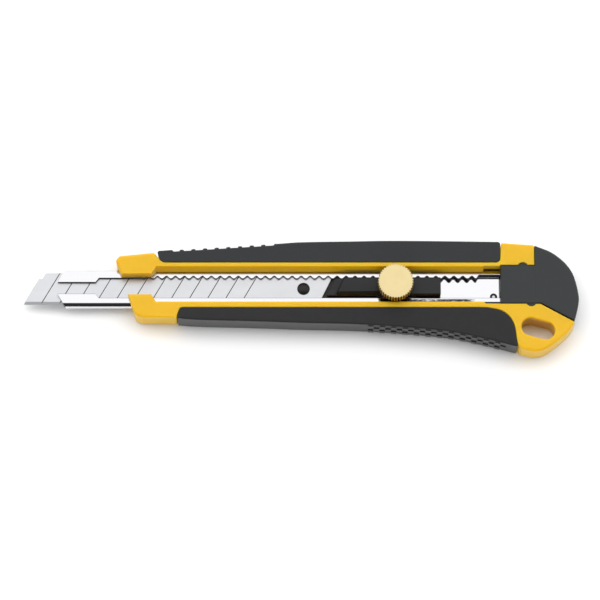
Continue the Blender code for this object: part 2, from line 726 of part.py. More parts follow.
def blade_carrier(parent):
    lean = 1 / math.tan(math.radians(BLADE_SHEAR))
    low, high = -CARRIER_HALF_WIDTH, CARRIER_HALF_WIDTH
    under_blade = [
        (CARRIER_NOSE_X, low + 1.2),
        (CARRIER_NOSE_X + 0.8, low),
        (CARRIER_STEP_X, low),
        (CARRIER_STEP_X, high),
        (CARRIER_NOSE_X + 0.8, high),
        (CARRIER_NOSE_X, high - 1.2),
    ]
    base_top = BLADE_TOP - BLADE_THICKNESS - FIT_GAP
    mesh = extruded("blade_carrier", under_blade, CARRIER_BOTTOM, base_top)
    piece = adopt("blade_carrier", mesh, PARTS, parent, SLIDER_PLASTIC)
    tail = BLADE_TAIL_X + 0.35
    behind = [
        (tail + lean * (low + BLADE_HALF_WIDTH), low),
        (SLIDER_REAR_X - 0.6, low),
        (SLIDER_REAR_X, low + 0.6),
        (SLIDER_REAR_X, high - 0.6),
        (SLIDER_REAR_X - 0.6, high),
        (tail + lean * (high + BLADE_HALF_WIDTH), high),
    ]
    join(piece, "carrier_deck", extruded("carrier_deck", behind, CARRIER_BOTTOM, CARRIER_TOP))
    below, above = CARRIER_BOTTOM - CUT_OVER, CARRIER_TOP + CUT_OVER
    window = box_mesh("lock_window", (*LOCK_WINDOW[0], below), (*LOCK_WINDOW[1], above))
    cut(piece, "lock_window", window)
    cut(piece, "pin_hole", round_mesh("pin_hole", (BLADE_HOLE_X, 0.0), PIN_HOLE_RADIUS, below, above, 24))
    for x in COVER_PEGS:
        hole = round_mesh("peg_hole", (x, 0.0), PEG_RADIUS + FIT_GAP, below, above, 24)
        cut(piece, f"peg_hole_{round(x)}", hole)
    scallop = round_mesh("carrier_scallop", SCALLOP_PLACE, SCALLOP_RADIUS, below, above, 32)
    cut(piece, "carrier_scallop", scallop)
    return piece


def blade_pin(parent):
    """A headed pin, whose dome fills the blade's hole and whose shank sits in the carrier."""
    seat = BLADE_TOP - BLADE_THICKNESS - 0.1
    foot = CARRIER_BOTTOM + 0.1
    dome = [(0.0, PIN_HEAD_TOP), (0.7, 4.5), (1.25, 4.25), (PIN_HEAD_RADIUS, 3.95)]
    shank = [(PIN_HEAD_RADIUS, seat), (PIN_RADIUS, seat), (PIN_RADIUS, foot), (0.0, foot)]
    return turned_object("blade_pin", dome + shank, (BLADE_HOLE_X, 0.0), parent, DARK_METAL, PARTS, 32)


def slider_cover(parent):
    """The ridge on the carrier: a low foot with a slanted front, and a flat-topped body behind it."""
    wide = COVER_HALF_WIDTH
    lean = 1 / math.tan(math.radians(BLADE_SHEAR))
    # The foot is a hair narrower than the body, so that their sides never lie in one plane.
    foot_wide = wide - 0.04
    foot = [
        (COVER_FRONT_X - lean * foot_wide, -foot_wide),
        (16.0, -foot_wide),
        (16.0, foot_wide),
        (COVER_FRONT_X + lean * foot_wide, foot_wide),
    ]
    body = [
        (COVER_BODY_X - lean * wide, -wide),
        (SLIDER_REAR_X - 0.5, -wide),
        (SLIDER_REAR_X, -wide + 0.5),
        (SLIDER_REAR_X, wide - 0.5),
        (SLIDER_REAR_X - 0.5, wide),
        (COVER_BODY_X + lean * wide, wide),
    ]
    mesh = extruded("slider_cover", body, COVER_BOTTOM, COVER_TOP)
    cover = adopt("slider_cover", mesh, PARTS, parent, SLIDER_PLASTIC)
    room_low = (PLATE_ROOM[0], -wide - CUT_OVER, COVER_BOTTOM - CUT_OVER)
    room_high = (PLATE_ROOM[1], wide + CUT_OVER, COVER_BOTTOM + PLATE_ROOM_HEIGHT)
    cut(cover, "plate_room", box_mesh("plate_room", room_low, room_high))
    rounded_edges(cover, 0.35, 2)
    join(cover, "cover_foot", extruded("cover_foot", foot, COVER_BOTTOM + 0.1, COVER_FOOT_TOP))
    for x in COVER_PEGS:
        peg = round_mesh("peg", (x, 0.0), PEG_RADIUS, CARRIER_BOTTOM + HOLE_PLAY, COVER_BOTTOM + 0.8, 24)
        join(cover, f"peg_{round(x)}", peg)
    over = COVER_TOP + CUT_OVER
    slope = [(-1.5, COVER_TOP + 0.02), (-1.5, over), (-4.0, over), (-4.0, COVER_FOOT_TOP - 0.02)]
    slope += [(-wide - 0.02, COVER_FOOT_TOP - 0.02), (-2.1, COVER_TOP - 0.45)]
    cut(cover, "front_slope", extruded("front_slope", slope, COVER_FRONT_X - 4, WHEEL_X - BORE_RADIUS, "x"))
    bore = round_mesh("cover_bore", (WHEEL_X, 0.0), BORE_RADIUS, COVER_BOTTOM - 1, over, 32)
    cut(cover, "cover_bore", bore)
    return cover


def flat_washer(parent):
    inner, outer = BORE_RADIUS, WASHER_RADIUS
    low, high = FLAT_WASHER_BOTTOM, FLAT_WASHER_TOP
    profile = [(inner, high), (outer, high), (outer, low), (inner, low), (inner, high)]
    washer = turned_object("flat_washer", profile, (WHEEL_X, 0.0), parent, DARK_METAL, PARTS, 40)
    weld = washer.modifiers.new("Close", "WELD")
    weld.merge_threshold = 0.00001
    return washer


def wave_washer(parent):
    """A thin ring bent into three waves, which keeps the wheel from rattling."""
    low, high = WAVE_WASHER_BOTTOM, WAVE_WASHER_TOP
    ring = bpy.data.meshes.new("wave_washer")
    work = bmesh.new()
    steps = 48
    inner, outer = BORE_RADIUS, WAVE_WASHER_RADIUS
    corners = [(inner, low), (outer, low), (outer, high), (inner, high)]
    rows = []
    for i in range(steps):
        angle = 2 * math.pi * i / steps
        lift = WAVE_HEIGHT * (1 + math.sin(3 * angle)) / 2
        places = [(r * math.cos(angle), r * math.sin(angle), z + lift) for r, z in corners]
        rows.append([work.verts.new(Vector(place) * MM) for place in places])
    for i, row in enumerate(rows):
        after = rows[(i + 1) % steps]
        for k in range(4):
            work.faces.new((row[k], after[k], after[(k + 1) % 4], row[(k + 1) % 4]))
    bmesh.ops.recalc_face_normals(work, faces=work.faces)
    work.to_mesh(ring)
    work.free()
    washer = adopt("wave_washer", ring, PARTS, parent, DARK_METAL)
    washer.location = Vector((WHEEL_X, 0.0, 0.0)) * MM
    return washer


def lock_plate(parent):
    """The plate under the rail's lips, whose bumps rise into the teeth when it is drawn up."""
    mesh = box_mesh("lock_plate", PLATE_LOW, PLATE_HIGH)
    plate = adopt("lock_plate", mesh, PARTS, parent, PLATE_STEEL)
    rounded_edges(plate, 0.12, 1)
    for i in range(LOCK_BUMP_COUNT):
        place = (TOOTH_FIRST_X + TOOTH_PITCH * (LOCK_BUMP_FIRST_TOOTH + i), LOCK_BUMP_Y)
        bump = round_mesh("lock_bump", place, LOCK_BUMP_RADIUS, PLATE_LOW[2] + 0.2, LOCK_BUMP_TOP, 16)
        join(plate, f"lock_bump_{i + 1}", bump)
    bore = round_mesh("plate_bore", (WHEEL_X, 0.0), SCREW_RADIUS + HOLE_PLAY, 2.0, 5.0, 32)
    cut(plate, "plate_bore", bore)
    set_origin(plate, (WHEEL_X, 0.0, PLATE_LOW[2]))
    return plate


def lock_screw(parent):
    """The square-headed screw that the wheel's thread would run on, here a plain shank."""
    half = SCREW_HEAD_HALF
    low = (WHEEL_X - half, -half, SCREW_HEAD_BOTTOM)
    high = (WHEEL_X + half, half, SCREW_HEAD_TOP)
    screw = adopt("lock_screw", box_mesh("lock_screw", low, high), PARTS, parent, PLATE_STEEL)
    rounded_edges(screw, 0.1, 1)
    shank_foot = SCREW_HEAD_BOTTOM + 0.15
    shank = round_mesh("screw_shank", (WHEEL_X, 0.0), SCREW_RADIUS, shank_foot, SCREW_TOP, 32)
    join(screw, "screw_shank", shank)
    set_origin(screw, (WHEEL_X, 0.0, SCREW_HEAD_BOTTOM))
    return screw


def thumb_wheel(parent):
    steps = 4 * KNURL_COUNT
    outline = []
    for i in range(steps):
        angle = 2 * math.pi * i / steps
        ridge = (1 + math.cos(KNURL_COUNT * angle)) / 2
        radius = WHEEL_RADIUS - KNURL_DEPTH * (1 - ridge)
        outline.append((radius * math.cos(angle), radius * math.sin(angle)))
    mesh = extruded("thumb_wheel", outline, WHEEL_BOTTOM, WHEEL_TOP)
    wheel = adopt("thumb_wheel", mesh, PARTS, parent, TURNED_BRASS)
    wheel.location = Vector((WHEEL_X, 0.0, 0.0)) * MM
    profile = [
        (0.0, WHEEL_TOP),
        (WHEEL_RADIUS - WHEEL_CHAMFER, WHEEL_TOP),
        (WHEEL_RADIUS + 0.02, WHEEL_TOP - WHEEL_CHAMFER),
        (WHEEL_RADIUS + 0.02, WHEEL_BOTTOM + WHEEL_CHAMFER),
        (WHEEL_RADIUS - WHEEL_CHAMFER, WHEEL_BOTTOM),
        (0.0, WHEEL_BOTTOM),
    ]
    blank = turned_object("wheel_blank", profile, (WHEEL_X, 0.0), parent, None, CUTTERS, 80)
    blank.hide_render = True
    blank.display_type = "WIRE"
    crop = wheel.modifiers.new("Blank", "BOOLEAN")
    crop.operation = "INTERSECT"
    crop.solver = "EXACT"
    crop.object = blank
    bore = round_mesh("wheel_bore", (WHEEL_X, 0.0), BORE_RADIUS, WHEEL_BOTTOM - 1, WHEEL_BORE_TOP, 32)
    cut(wheel, "wheel_bore", bore)
    return wheel


# --- The end cap ---


def cap_outline():
    points = [
        (75.35, -9.95),
        (76.3, -6.6),
        (HALF_LENGTH, -4.0),
        (75.9, -0.4),
        (74.5, 3.7),
        (72.6, 6.4),
        (69.2, 9.25),
        (64.45, 11.15),
    ]
    front = BODY_REAR_X + FIT_GAP
    return [(front, -5.2), (65.8, -5.2), (74.95, -10.2), *smooth_line(points, 3), (front, 11.1)]


def end_cap(parent):
    cap = adopt("end_cap", extruded("end_cap", cap_outline(), 0.0, BODY_TOP), PARTS, parent, CAP_PLASTIC)
    rounded_edges(cap, 0.5, 2)
    tongue = [
        (CAP_FRONT_X, TONGUE_LOWER_Y),
        (68.0, TONGUE_LOWER_Y + 0.1),
        (68.0, TONGUE_UPPER_Y),
        *arc((CAP_FRONT_X + 0.7, TONGUE_UPPER_Y - 0.7), 0.7, 90, 180, 4),
    ]
    join(cap, "cap_tongue", extruded("cap_tongue", tongue, TONGUE_BOTTOM, TONGUE_TOP))
    for name, side in (("upper", 1), ("lower", -1)):
        centre, radius = snap_circle(side)
        join(cap, f"snap_{name}", round_mesh("snap", centre, radius, SNAP_BOTTOM, SNAP_TOP))
    set_origin(cap, (CAP_FRONT_X, 0.0, TONGUE_BOTTOM))
    return cap


def build():
    knife = empty_at("knife", (0.0, RAIL_CENTRE_Y, 0.0), None)
    slider = empty_at("slider", (0.0, 0.0, 0.0), knife)
    body_shell(knife)
    upper_grip(knife)
    lower_grip(knife)
    blade_channel(knife)
    channel_rivet(knife)
    blade(slider)
    blade_carrier(slider)
    blade_pin(slider)
    slider_cover(slider)
    lock_plate(slider)
    lock_screw(slider)
    flat_washer(slider)
    wave_washer(slider)
    thumb_wheel(slider)
    end_cap(knife)


clear_scene()
PARTS = new_collection("utility_knife", hidden=False)
CUTTERS = new_collection("cutters", hidden=True)
ABS_YELLOW = finish_of("yellow_abs", YELLOW, 0.38, 0.0)
GRIP_RUBBER = finish_of("dark_grip_rubber", DARK_RUBBER, 0.7, 0.0)
CAP_PLASTIC = finish_of("cap_plastic", CAP_GREY, 0.55, 0.0)
SLIDER_PLASTIC = finish_of("slider_plastic", BLACK_PLASTIC, 0.45, 0.0)
STAINLESS = finish_of("polished_stainless", STEEL, 0.15, 1.0)
BLADE_STEEL = finish_of("blade_steel", STEEL, 0.25, 1.0)
PLATE_STEEL = finish_of("zinc_plated_steel", STEEL, 0.4, 1.0)
DARK_METAL = finish_of("blackened_steel", DARK_STEEL, 0.4, 1.0)
TURNED_BRASS = finish_of("turned_brass", BRASS, 0.3, 1.0)
build()
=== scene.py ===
"""Finished looks for a slim snap-off utility knife, laid out as an add-on with one operator a piece.

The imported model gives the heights, the rail's centre line and where the round pieces stand.
Outlines are drawn in millimetres with Y = 0 on that line, as a maker's drawing would be, and one
matrix puts them into the row's frame.
"""

import math

import bmesh
import bpy
from bpy.props import FloatProperty, FloatVectorProperty, IntProperty, PointerProperty
from mathutils import Matrix, Vector
from mathutils.geometry import delaunay_2d_cdt


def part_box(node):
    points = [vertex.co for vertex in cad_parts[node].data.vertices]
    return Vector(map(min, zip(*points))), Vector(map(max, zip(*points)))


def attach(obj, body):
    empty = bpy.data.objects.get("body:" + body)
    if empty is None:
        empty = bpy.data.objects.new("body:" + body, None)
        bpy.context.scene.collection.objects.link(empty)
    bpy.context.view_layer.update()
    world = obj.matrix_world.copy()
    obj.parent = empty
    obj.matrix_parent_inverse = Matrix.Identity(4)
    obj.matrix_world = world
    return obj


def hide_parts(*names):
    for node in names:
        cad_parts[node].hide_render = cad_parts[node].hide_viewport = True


bl_info = {
    "name": "Snap-off utility knife",
    "version": (1, 0, 0),
    "blender": (4, 5, 0),
    "location": "View3D > Sidebar > Knife",
    "description": "Builds the finished pieces of a snap-off utility knife around its packed frame",
    "category": "Mesh",
}

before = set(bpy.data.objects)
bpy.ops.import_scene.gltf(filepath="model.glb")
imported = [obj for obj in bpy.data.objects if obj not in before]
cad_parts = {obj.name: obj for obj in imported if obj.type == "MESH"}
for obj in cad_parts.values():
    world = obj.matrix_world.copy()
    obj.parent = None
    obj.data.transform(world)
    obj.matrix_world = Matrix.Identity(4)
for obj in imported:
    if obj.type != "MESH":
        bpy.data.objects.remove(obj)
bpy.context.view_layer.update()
MM = 0.001


def node_box(name):
    """A frame node's lowest and highest corners, in millimetres."""
    low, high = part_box(name)
    return low / MM, high / MM


RAIL_LOW, RAIL_HIGH = node_box("blade_channel")
BLADE_LOW, BLADE_HIGH = node_box("blade")
WHEEL_LOW, WHEEL_HIGH = node_box("thumb_wheel")
COVER_LOW, COVER_HIGH = node_box("slider_cover")
PIN_LOW, PIN_HIGH = node_box("blade_pin")
RIVET_LOW, RIVET_HIGH = node_box("channel_rivet")

CENTRE_Y = (RAIL_LOW.y + RAIL_HIGH.y) / 2
TO_FRAME = Matrix.Translation((0.0, CENTRE_Y * MM, 0.0)) @ Matrix.Scale(MM, 4)
BODY_TOP = node_box("body_shell")[1].z
RAIL_HALF = (RAIL_HIGH.y - RAIL_LOW.y) / 2
WHEEL_X = (WHEEL_LOW.x + WHEEL_HIGH.x) / 2
PIN_X = (PIN_LOW.x + PIN_HIGH.x) / 2


# --- Colour and node helpers ---


def linear(code):
    """An sRGB hex colour as linear red, green and blue."""
    parts = [int(code[i : i + 2], 16) / 255 for i in (1, 3, 5)]
    return tuple(c / 12.92 if c <= 0.04045 else ((c + 0.055) / 1.055) ** 2.4 for c in parts)


def add_node(tree, kind, settings=None, links=None, values=None):
    """Adds one node: its settings, its unlinked input values and its links by input name."""
    made = tree.nodes.new(kind)
    for name, value in (settings or {}).items():
        setattr(made, name, value)
    for name, value in (values or {}).items():
        made.inputs[name].default_value = value
    for name, source in (links or {}).items():
        tree.links.new(source, made.inputs[name])
    return made


def blank_material(name, colour, roughness, metallic=0.0):
    made = bpy.data.materials.new(name)
    made.use_nodes = True
    shader = made.node_tree.nodes["Principled BSDF"]
    shader.inputs["Base Color"].default_value = (*colour, 1.0)
    shader.inputs["Roughness"].default_value = roughness
    shader.inputs["Metallic"].default_value = metallic
    if not metallic:
        shader.inputs["Specular IOR Level"].default_value = 0.4
    return made, made.node_tree, shader


def object_place(tree, scale=(1.0, 1.0, 1.0)):
    """Object coordinates stretched by a scale in patterns per millimetre."""
    place = add_node(tree, "ShaderNodeTexCoord")
    per_metre = tuple(s / MM for s in scale)
    mapping = add_node(tree, "ShaderNodeMapping", links={"Vector": place.outputs["Object"]})
    mapping.inputs["Scale"].default_value = per_metre
    return mapping.outputs["Vector"]


def tint(tree, shader, factor, low, high):
    """Base colour that drifts between two close colours with a pattern."""
    mix = add_node(tree, "ShaderNodeMix", {"data_type": "RGBA"}, {"Factor": factor})
    mix.inputs["A"].default_value = (*low, 1.0)
    mix.inputs["B"].default_value = (*high, 1.0)
    tree.links.new(mix.outputs["Result"], shader.inputs["Base Color"])


def shaded(colour, share):
    return tuple(min(1.0, c * share) for c in colour)


def relief(tree, shader, height, depth_mm, strength):
    """Bump of this depth from a pattern."""
    values = {"Distance": depth_mm * MM, "Strength": strength}
    bump = add_node(tree, "ShaderNodeBump", links={"Height": height}, values=values)
    tree.links.new(bump.outputs["Normal"], shader.inputs["Normal"])


def vary_roughness(tree, shader, source, low, high):
    """Roughness that drifts between two values with a pattern."""
    ranged = add_node(
        tree, "ShaderNodeMapRange", links={"Value": source}, values={"To Min": low, "To Max": high}
    )
    tree.links.new(ranged.outputs["Result"], shader.inputs["Roughness"])


# --- Materials ---


def moulded_plastic(name, colour, roughness, grain_mm, depth_mm):
    """Thermoplastic from a spark-eroded mould: a fine even grain that softens every highlight."""
    made, tree, shader = blank_material(name, colour, roughness)
    grain = add_node(
        tree,
        "ShaderNodeTexNoise",
        links={"Vector": object_place(tree, (1 / grain_mm,) * 3)},
        values={"Scale": 1.0, "Detail": 3.0, "Roughness": 0.6},
    )
    # The melt's slow flow leaves the colour a little uneven over several millimetres.
    flow = add_node(
        tree,
        "ShaderNodeTexNoise",
        links={"Vector": object_place(tree, (1 / 9.0, 1 / 4.0, 1 / 4.0))},
        values={"Scale": 1.0, "Detail": 2.0},
    )
    tint(tree, shader, flow.outputs["Fac"], shaded(colour, 0.95), shaded(colour, 1.05))
    vary_roughness(tree, shader, grain.outputs["Fac"], roughness - 0.05, roughness + 0.05)
    relief(tree, shader, grain.outputs["Fac"], depth_mm, 0.6)
    return made


def moulded_abs(colour):
    """Yellow ABS, moulded: light seeps a millimetre or two into it, so that walls in shade glow orange."""
    made = moulded_plastic("moulded_abs_yellow", colour, 0.36, 0.12, 0.012)
    shader = made.node_tree.nodes["Principled BSDF"]
    shader.inputs["Subsurface Weight"].default_value = 0.6
    shader.inputs["Subsurface Radius"].default_value = (1.0, 0.45, 0.08)
    shader.inputs["Subsurface Scale"].default_value = 2.5 * MM
    return made


def rubber_grip(name, colour):
    """Overmoulded thermoplastic rubber: matte, with a leathery grain of pits and faint dust."""
    made, tree, shader = blank_material(name, colour, 0.62)
    # Skin oil and dust make the sides look paler where the eye meets them at a slant.
    shader.inputs["Sheen Weight"].default_value = 0.25
    shader.inputs["Sheen Roughness"].default_value = 0.5
    pits = add_node(
        tree,
        "ShaderNodeTexVoronoi",
        {"feature": "SMOOTH_F1"},
        {"Vector": object_place(tree, (1 / 0.35,) * 3)},
        {"Scale": 1.0, "Smoothness": 0.6},
    )
    haze = add_node(
        tree,
        "ShaderNodeTexNoise",
        links={"Vector": object_place(tree, (1 / 2.2,) * 3)},
        values={"Scale": 1.0, "Detail": 4.0},
    )
    tint(tree, shader, haze.outputs["Fac"], shaded(colour, 0.88), shaded(colour, 1.12))
    vary_roughness(tree, shader, haze.outputs["Fac"], 0.55, 0.7)
    relief(tree, shader, pits.outputs["Distance"], 0.02, 0.5)
    return made


def rolled_stainless():
    """Bright-rolled stainless strip: a mirror with faint lines along the way it was rolled."""
    colours = bpy.context.scene.knife_colours
    made, tree, shader = blank_material("rolled_stainless", tuple(colours.stainless), 0.12, 1.0)
    lines = add_node(
        tree,
        "ShaderNodeTexNoise",
        links={"Vector": object_place(tree, (0.05, 6.0, 6.0))},
        values={"Scale": 1.0, "Detail": 3.0},
    )
    vary_roughness(tree, shader, lines.outputs["Fac"], 0.04, 0.12)
    relief(tree, shader, lines.outputs["Fac"], 0.004, 0.35)
    # An acid-etched strip along the lower lip: plain mottled grey, with no marks to read.
    tint(tree, shader, etched_strip(tree), tuple(colours.stainless), tuple(colours.etched))
    return made


# The etched strip's sides in the frame, in millimetres: where it starts to show and where it is full.
ETCHED_SIDES = (
    ("X", 21.2, 21.5),
    ("X", 48.2, 46.0),
    ("Y", CENTRE_Y - 4.15, CENTRE_Y - 4.05),
    ("Y", CENTRE_Y - 3.12, CENTRE_Y - 3.22),
    ("Z", 4.6, 4.7),
)


def etched_strip(tree):
    """How far the steel is etched, from 0 to 1: a mottle that stops at the strip's sides."""
    place = add_node(tree, "ShaderNodeTexCoord")
    parts = add_node(tree, "ShaderNodeSeparateXYZ", links={"Vector": place.outputs["Object"]})
    mottle = add_node(
        tree,
        "ShaderNodeTexNoise",
        links={"Vector": object_place(tree, (1.1, 3.0, 3.0))},
        values={"Scale": 1.0, "Detail": 2.0},
    )
    patch = add_node(
        tree,
        "ShaderNodeMapRange",
        links={"Value": mottle.outputs["Fac"]},
        values={"From Min": 0.2, "From Max": 0.5},
    )
    factor = patch.outputs["Result"]
    for axis, start, full in ETCHED_SIDES:
        ranged = add_node(
            tree,
            "ShaderNodeMapRange",
            links={"Value": parts.outputs[axis]},
            values={"From Min": start * MM, "From Max": full * MM},
        )
        both = {0: factor, 1: ranged.outputs["Result"]}
        factor = add_node(tree, "ShaderNodeMath", {"operation": "MULTIPLY"}, both).outputs["Value"]
    return factor


def ground_blade_steel():
    """Hardened carbon steel, wheel-ground across its width: short cross lines and a soft grey sheen."""
    colour = tuple(bpy.context.scene.knife_colours.blade)
    made, tree, shader = blank_material("ground_blade_steel", colour, 0.3, 1.0)
    lines = add_node(
        tree,
        "ShaderNodeTexNoise",
        links={"Vector": object_place(tree, (5.0, 0.25, 0.25))},
        values={"Scale": 1.0, "Detail": 4.0},
    )
    cloud = add_node(
        tree,
        "ShaderNodeTexNoise",
        links={"Vector": object_place(tree, (0.12, 0.3, 0.3))},
        values={"Scale": 1.0, "Detail": 2.0},
    )
    tint(tree, shader, cloud.outputs["Fac"], shaded(colour, 0.93), shaded(colour, 1.05))
    vary_roughness(tree, shader, lines.outputs["Fac"], 0.26, 0.4)
    relief(tree, shader, lines.outputs["Fac"], 0.003, 0.5)
    return made


def plain_metal(name, colour, roughness):
    """Plated or blackened steel, barrel finished: small blurred blotches and no direction."""
    made, tree, shader = blank_material(name, colour, roughness, 1.0)
    blotch = add_node(
        tree,
        "ShaderNodeTexNoise",
        links={"Vector": object_place(tree, (1.6,) * 3)},
        values={"Scale": 1.0, "Detail": 4.0},
    )
    tint(tree, shader, blotch.outputs["Fac"], shaded(colour, 0.85), shaded(colour, 1.15))
    vary_roughness(tree, shader, blotch.outputs["Fac"], roughness - 0.08, roughness + 0.1)
    relief(tree, shader, blotch.outputs["Fac"], 0.006, 0.5)
    return made


def turned_brass():
    """Free-cutting brass faced on a lathe: fine rings about the axis that fan out the light."""
    colour = tuple(bpy.context.scene.knife_colours.brass)
    made, tree, shader = blank_material("turned_brass", colour, 0.3, 1.0)
    place = add_node(tree, "ShaderNodeTexCoord")
    centre = add_node(
        tree, "ShaderNodeVectorMath", {"operation": "SUBTRACT"}, {0: place.outputs["Object"]}
    )
    centre.inputs[1].default_value = (WHEEL_X * MM, CENTRE_Y * MM, 0.0)
    # Tool marks 0.12 mm apart, coarser than a real facing cut so that they can be seen.
    rings = add_node(
        tree,
        "ShaderNodeTexWave",
        {"wave_type": "RINGS", "rings_direction": "Z"},
        {"Vector": centre.outputs["Vector"]},
        {"Scale": 0.314 / (0.12 * MM), "Distortion": 0.4, "Detail": 2.0},
    )
    cloud = add_node(
        tree,
        "ShaderNodeTexNoise",
        links={"Vector": object_place(tree, (0.5,) * 3)},
        values={"Scale": 1.0, "Detail": 3.0},
    )
    tint(tree, shader, cloud.outputs["Fac"], shaded(colour, 0.93), shaded(colour, 1.06))
    vary_roughness(tree, shader, rings.outputs["Fac"], 0.24, 0.38)
    relief(tree, shader, rings.outputs["Fac"], 0.004, 0.6)
    return made


def white_card():
    """Matte white card: a barely visible tooth."""
    made, tree, shader = blank_material("matte_white_card", linear("#F4F4F4"), 0.9)
    tooth = add_node(
        tree,
        "ShaderNodeTexNoise",
        links={"Vector": object_place(tree, (1 / 1.5,) * 3)},
        values={"Scale": 1.0, "Detail": 3.0},
    )
    relief(tree, shader, tooth.outputs["Fac"], 0.01, 0.2)
    return made


# --- Outlines ---


def arc(centre, radius, start, end, steps):
    """Points on a circle from one angle to the other, in degrees, both ends included."""
    angles = [math.radians(start + (end - start) * i / steps) for i in range(steps + 1)]
    return [(centre[0] + radius * math.cos(a), centre[1] + radius * math.sin(a)) for a in angles]


def filleted(corners, steps=5, closed=True):
    """An outline of (x, y, radius) corners, each one rounded by its radius."""
    line = []
    count = len(corners)
    for i, (x, y, radius) in enumerate(corners):
        here = Vector((x, y))
        if radius <= 0 or (not closed and i in (0, count - 1)):
            line.append((x, y))
            continue
        before = (Vector(corners[i - 1][:2]) - here).normalized()
        after = (Vector(corners[(i + 1) % count][:2]) - here).normalized()
        half = before.angle(after) / 2
        start = here + before * radius / math.tan(half)
        end = here + after * radius / math.tan(half)
        middle = here + (before + after).normalized() * radius / math.sin(half)
        a = start - middle
        b = end - middle
        for k in range(steps + 1):
            swing = a.lerp(b, k / steps).normalized() * radius
            line.append(tuple(middle + swing))
    return line


def smooth_line(points, steps):
    """A Catmull-Rom line through the points, with this many steps between two of them."""
    ends = [points[0], *points, points[-1]]
    line = []
    for a, b, c, d in zip(ends, ends[1:], ends[2:], ends[3:]):
        for step in range(steps):
            t = step / steps
            line.append(
                tuple(
                    b[k]
                    + 0.5 * t * (c[k] - a[k])
                    + t * t * (a[k] - 2.5 * b[k] + 2 * c[k] - 0.5 * d[k])
                    + t * t * t * (1.5 * (b[k] - c[k]) + 0.5 * (d[k] - a[k]))
                    for k in (0, 1)
                )
            )
    return [*line, points[-1]]


def height_at(line, x):
    """The Y of a line drawn from left to right, at this X."""
    for (x0, y0), (x1, y1) in zip(line, line[1:]):
        if x <= x1:
            return y0 + (y1 - y0) * (x - x0) / (x1 - x0)
    return line[-1][1]


def shifted(line, distance):
    """The line moved to its left by a distance, each point along the mean normal."""
    moved = []
    for i, (x, y) in enumerate(line):
        before = line[max(i - 1, 0)]
        after = line[min(i + 1, len(line) - 1)]
        along = Vector((after[0] - before[0], after[1] - before[1])).normalized()
        moved.append((x - along.y * distance, y + along.x * distance))
    return moved


# --- Meshes, in millimetres until a piece is finished ---


def inward_normals(outline):
    """At each point of an anticlockwise outline, the way in, lengthened so that sides stay parallel."""
    found = []
    for i, here in enumerate(outline):
        before = Vector(here) - Vector(outline[i - 1])
        after = Vector(outline[(i + 1) % len(outline)]) - Vector(here)
        first = Vector((-before.y, before.x)).normalized()
        second = Vector((-after.y, after.x)).normalized()
        middle = (first + second).normalized()
        found.append(middle / max(0.6, middle.dot(first)))
    return found


def fitting_radii(outline, inward, radii):
    """Edge radii cut down where the outline turns too tightly for them, and changing gently along it."""
    count = len(outline)
    sides = [Vector(outline[(i + 1) % count]) - Vector(outline[i]) for i in range(count)]
    fits = list(radii)
    for i, side in enumerate(sides):
        j = (i + 1) % count
        closing = (inward[i] - inward[j]).dot(side.normalized())
        if closing > 0:
            most = 0.92 * side.length / closing
            fits[i] = min(fits[i], most)
            fits[j] = min(fits[j], most)
    for turn in (1, -1):
        for i in list(range(2 * count))[::turn]:
            here, last = i % count, (i - turn) % count
            length = sides[last if turn > 0 else here].length
            fits[here] = min(fits[here], fits[last] + 0.7 * length)
    return fits


def soft_prism(outline, low, high, radius, foot=None, steps=4):
    """An outline given thickness; radius rounds the top edge at each point, foot the bottom edge."""
    area = sum(a[0] * b[1] - b[0] * a[1] for a, b in zip(outline, outline[1:] + outline[:1]))
    count = len(outline)
    top = [radius] * count if isinstance(radius, (int, float)) else list(radius)
    bottom = top if foot is None else [foot] * count if isinstance(foot, (int, float)) else list(foot)
    if area < 0:
        outline, top, bottom = outline[::-1], top[::-1], bottom[::-1]
    inward = inward_normals(outline)
    top = fitting_radii(outline, inward, top)
    bottom = fitting_radii(outline, inward, bottom)
    levels = []
    for k in range(steps + 1):
        turn = math.pi / 2 * k / steps
        levels.append([(r * (1 - math.sin(turn)), low + r * (1 - math.cos(turn))) for r in bottom])
    for k in range(steps + 1):
        turn = math.pi / 2 * k / steps
        levels.append([(r * (1 - math.cos(turn)), high - r * (1 - math.sin(turn))) for r in top])
    work = bmesh.new()
    rings = []
    for level in levels:
        ring = []
        for (x, y), way_in, (inset, z) in zip(outline, inward, level):
            ring.append(work.verts.new((x + way_in.x * inset, y + way_in.y * inset, z)))
        rings.append(ring)
    bridge(work, rings, closed=True)
    fill_flat(work, rings[0], up=False)
    fill_flat(work, rings[-1], up=True)
    bmesh.ops.remove_doubles(work, verts=work.verts, dist=1e-5)
    return work


def fill_flat(work, ring, up):
    """Fills a level ring with triangles that stay inside it, however it bends."""
    flat = [vertex.co.xy for vertex in ring]
    _, _, triangles, sources, _, _ = delaunay_2d_cdt(flat, [], [list(range(len(ring)))], 1, 1e-6)
    for triangle in triangles:
        corners = [ring[sources[i][0]] for i in triangle]
        around = (corners[1].co - corners[0].co).cross(corners[2].co - corners[0].co).z
        if around:
            work.faces.new(corners if (around > 0) == up else corners[::-1])


def bridge(work, rings, closed):
    """Faces between neighbouring rings of vertices."""
    for lower, upper in zip(rings, rings[1:]):
        count = len(lower)
        for i in range(count if closed else count - 1):
            j = (i + 1) % count
            work.faces.new((lower[i], lower[j], upper[j], upper[i]))


def join_round(work, rings):
    """Faces between neighbouring round rings, where a ring of one vertex closes an end."""
    sides = max(len(ring) for ring in rings)
    for lower, upper in zip(rings, rings[1:]):
        for i in range(sides):
            j = (i + 1) % sides
            below = [lower[i % len(lower)], lower[j % len(lower)]]
            above = [upper[j % len(upper)], upper[i % len(upper)]]
            work.faces.new(list(dict.fromkeys(below + above)))


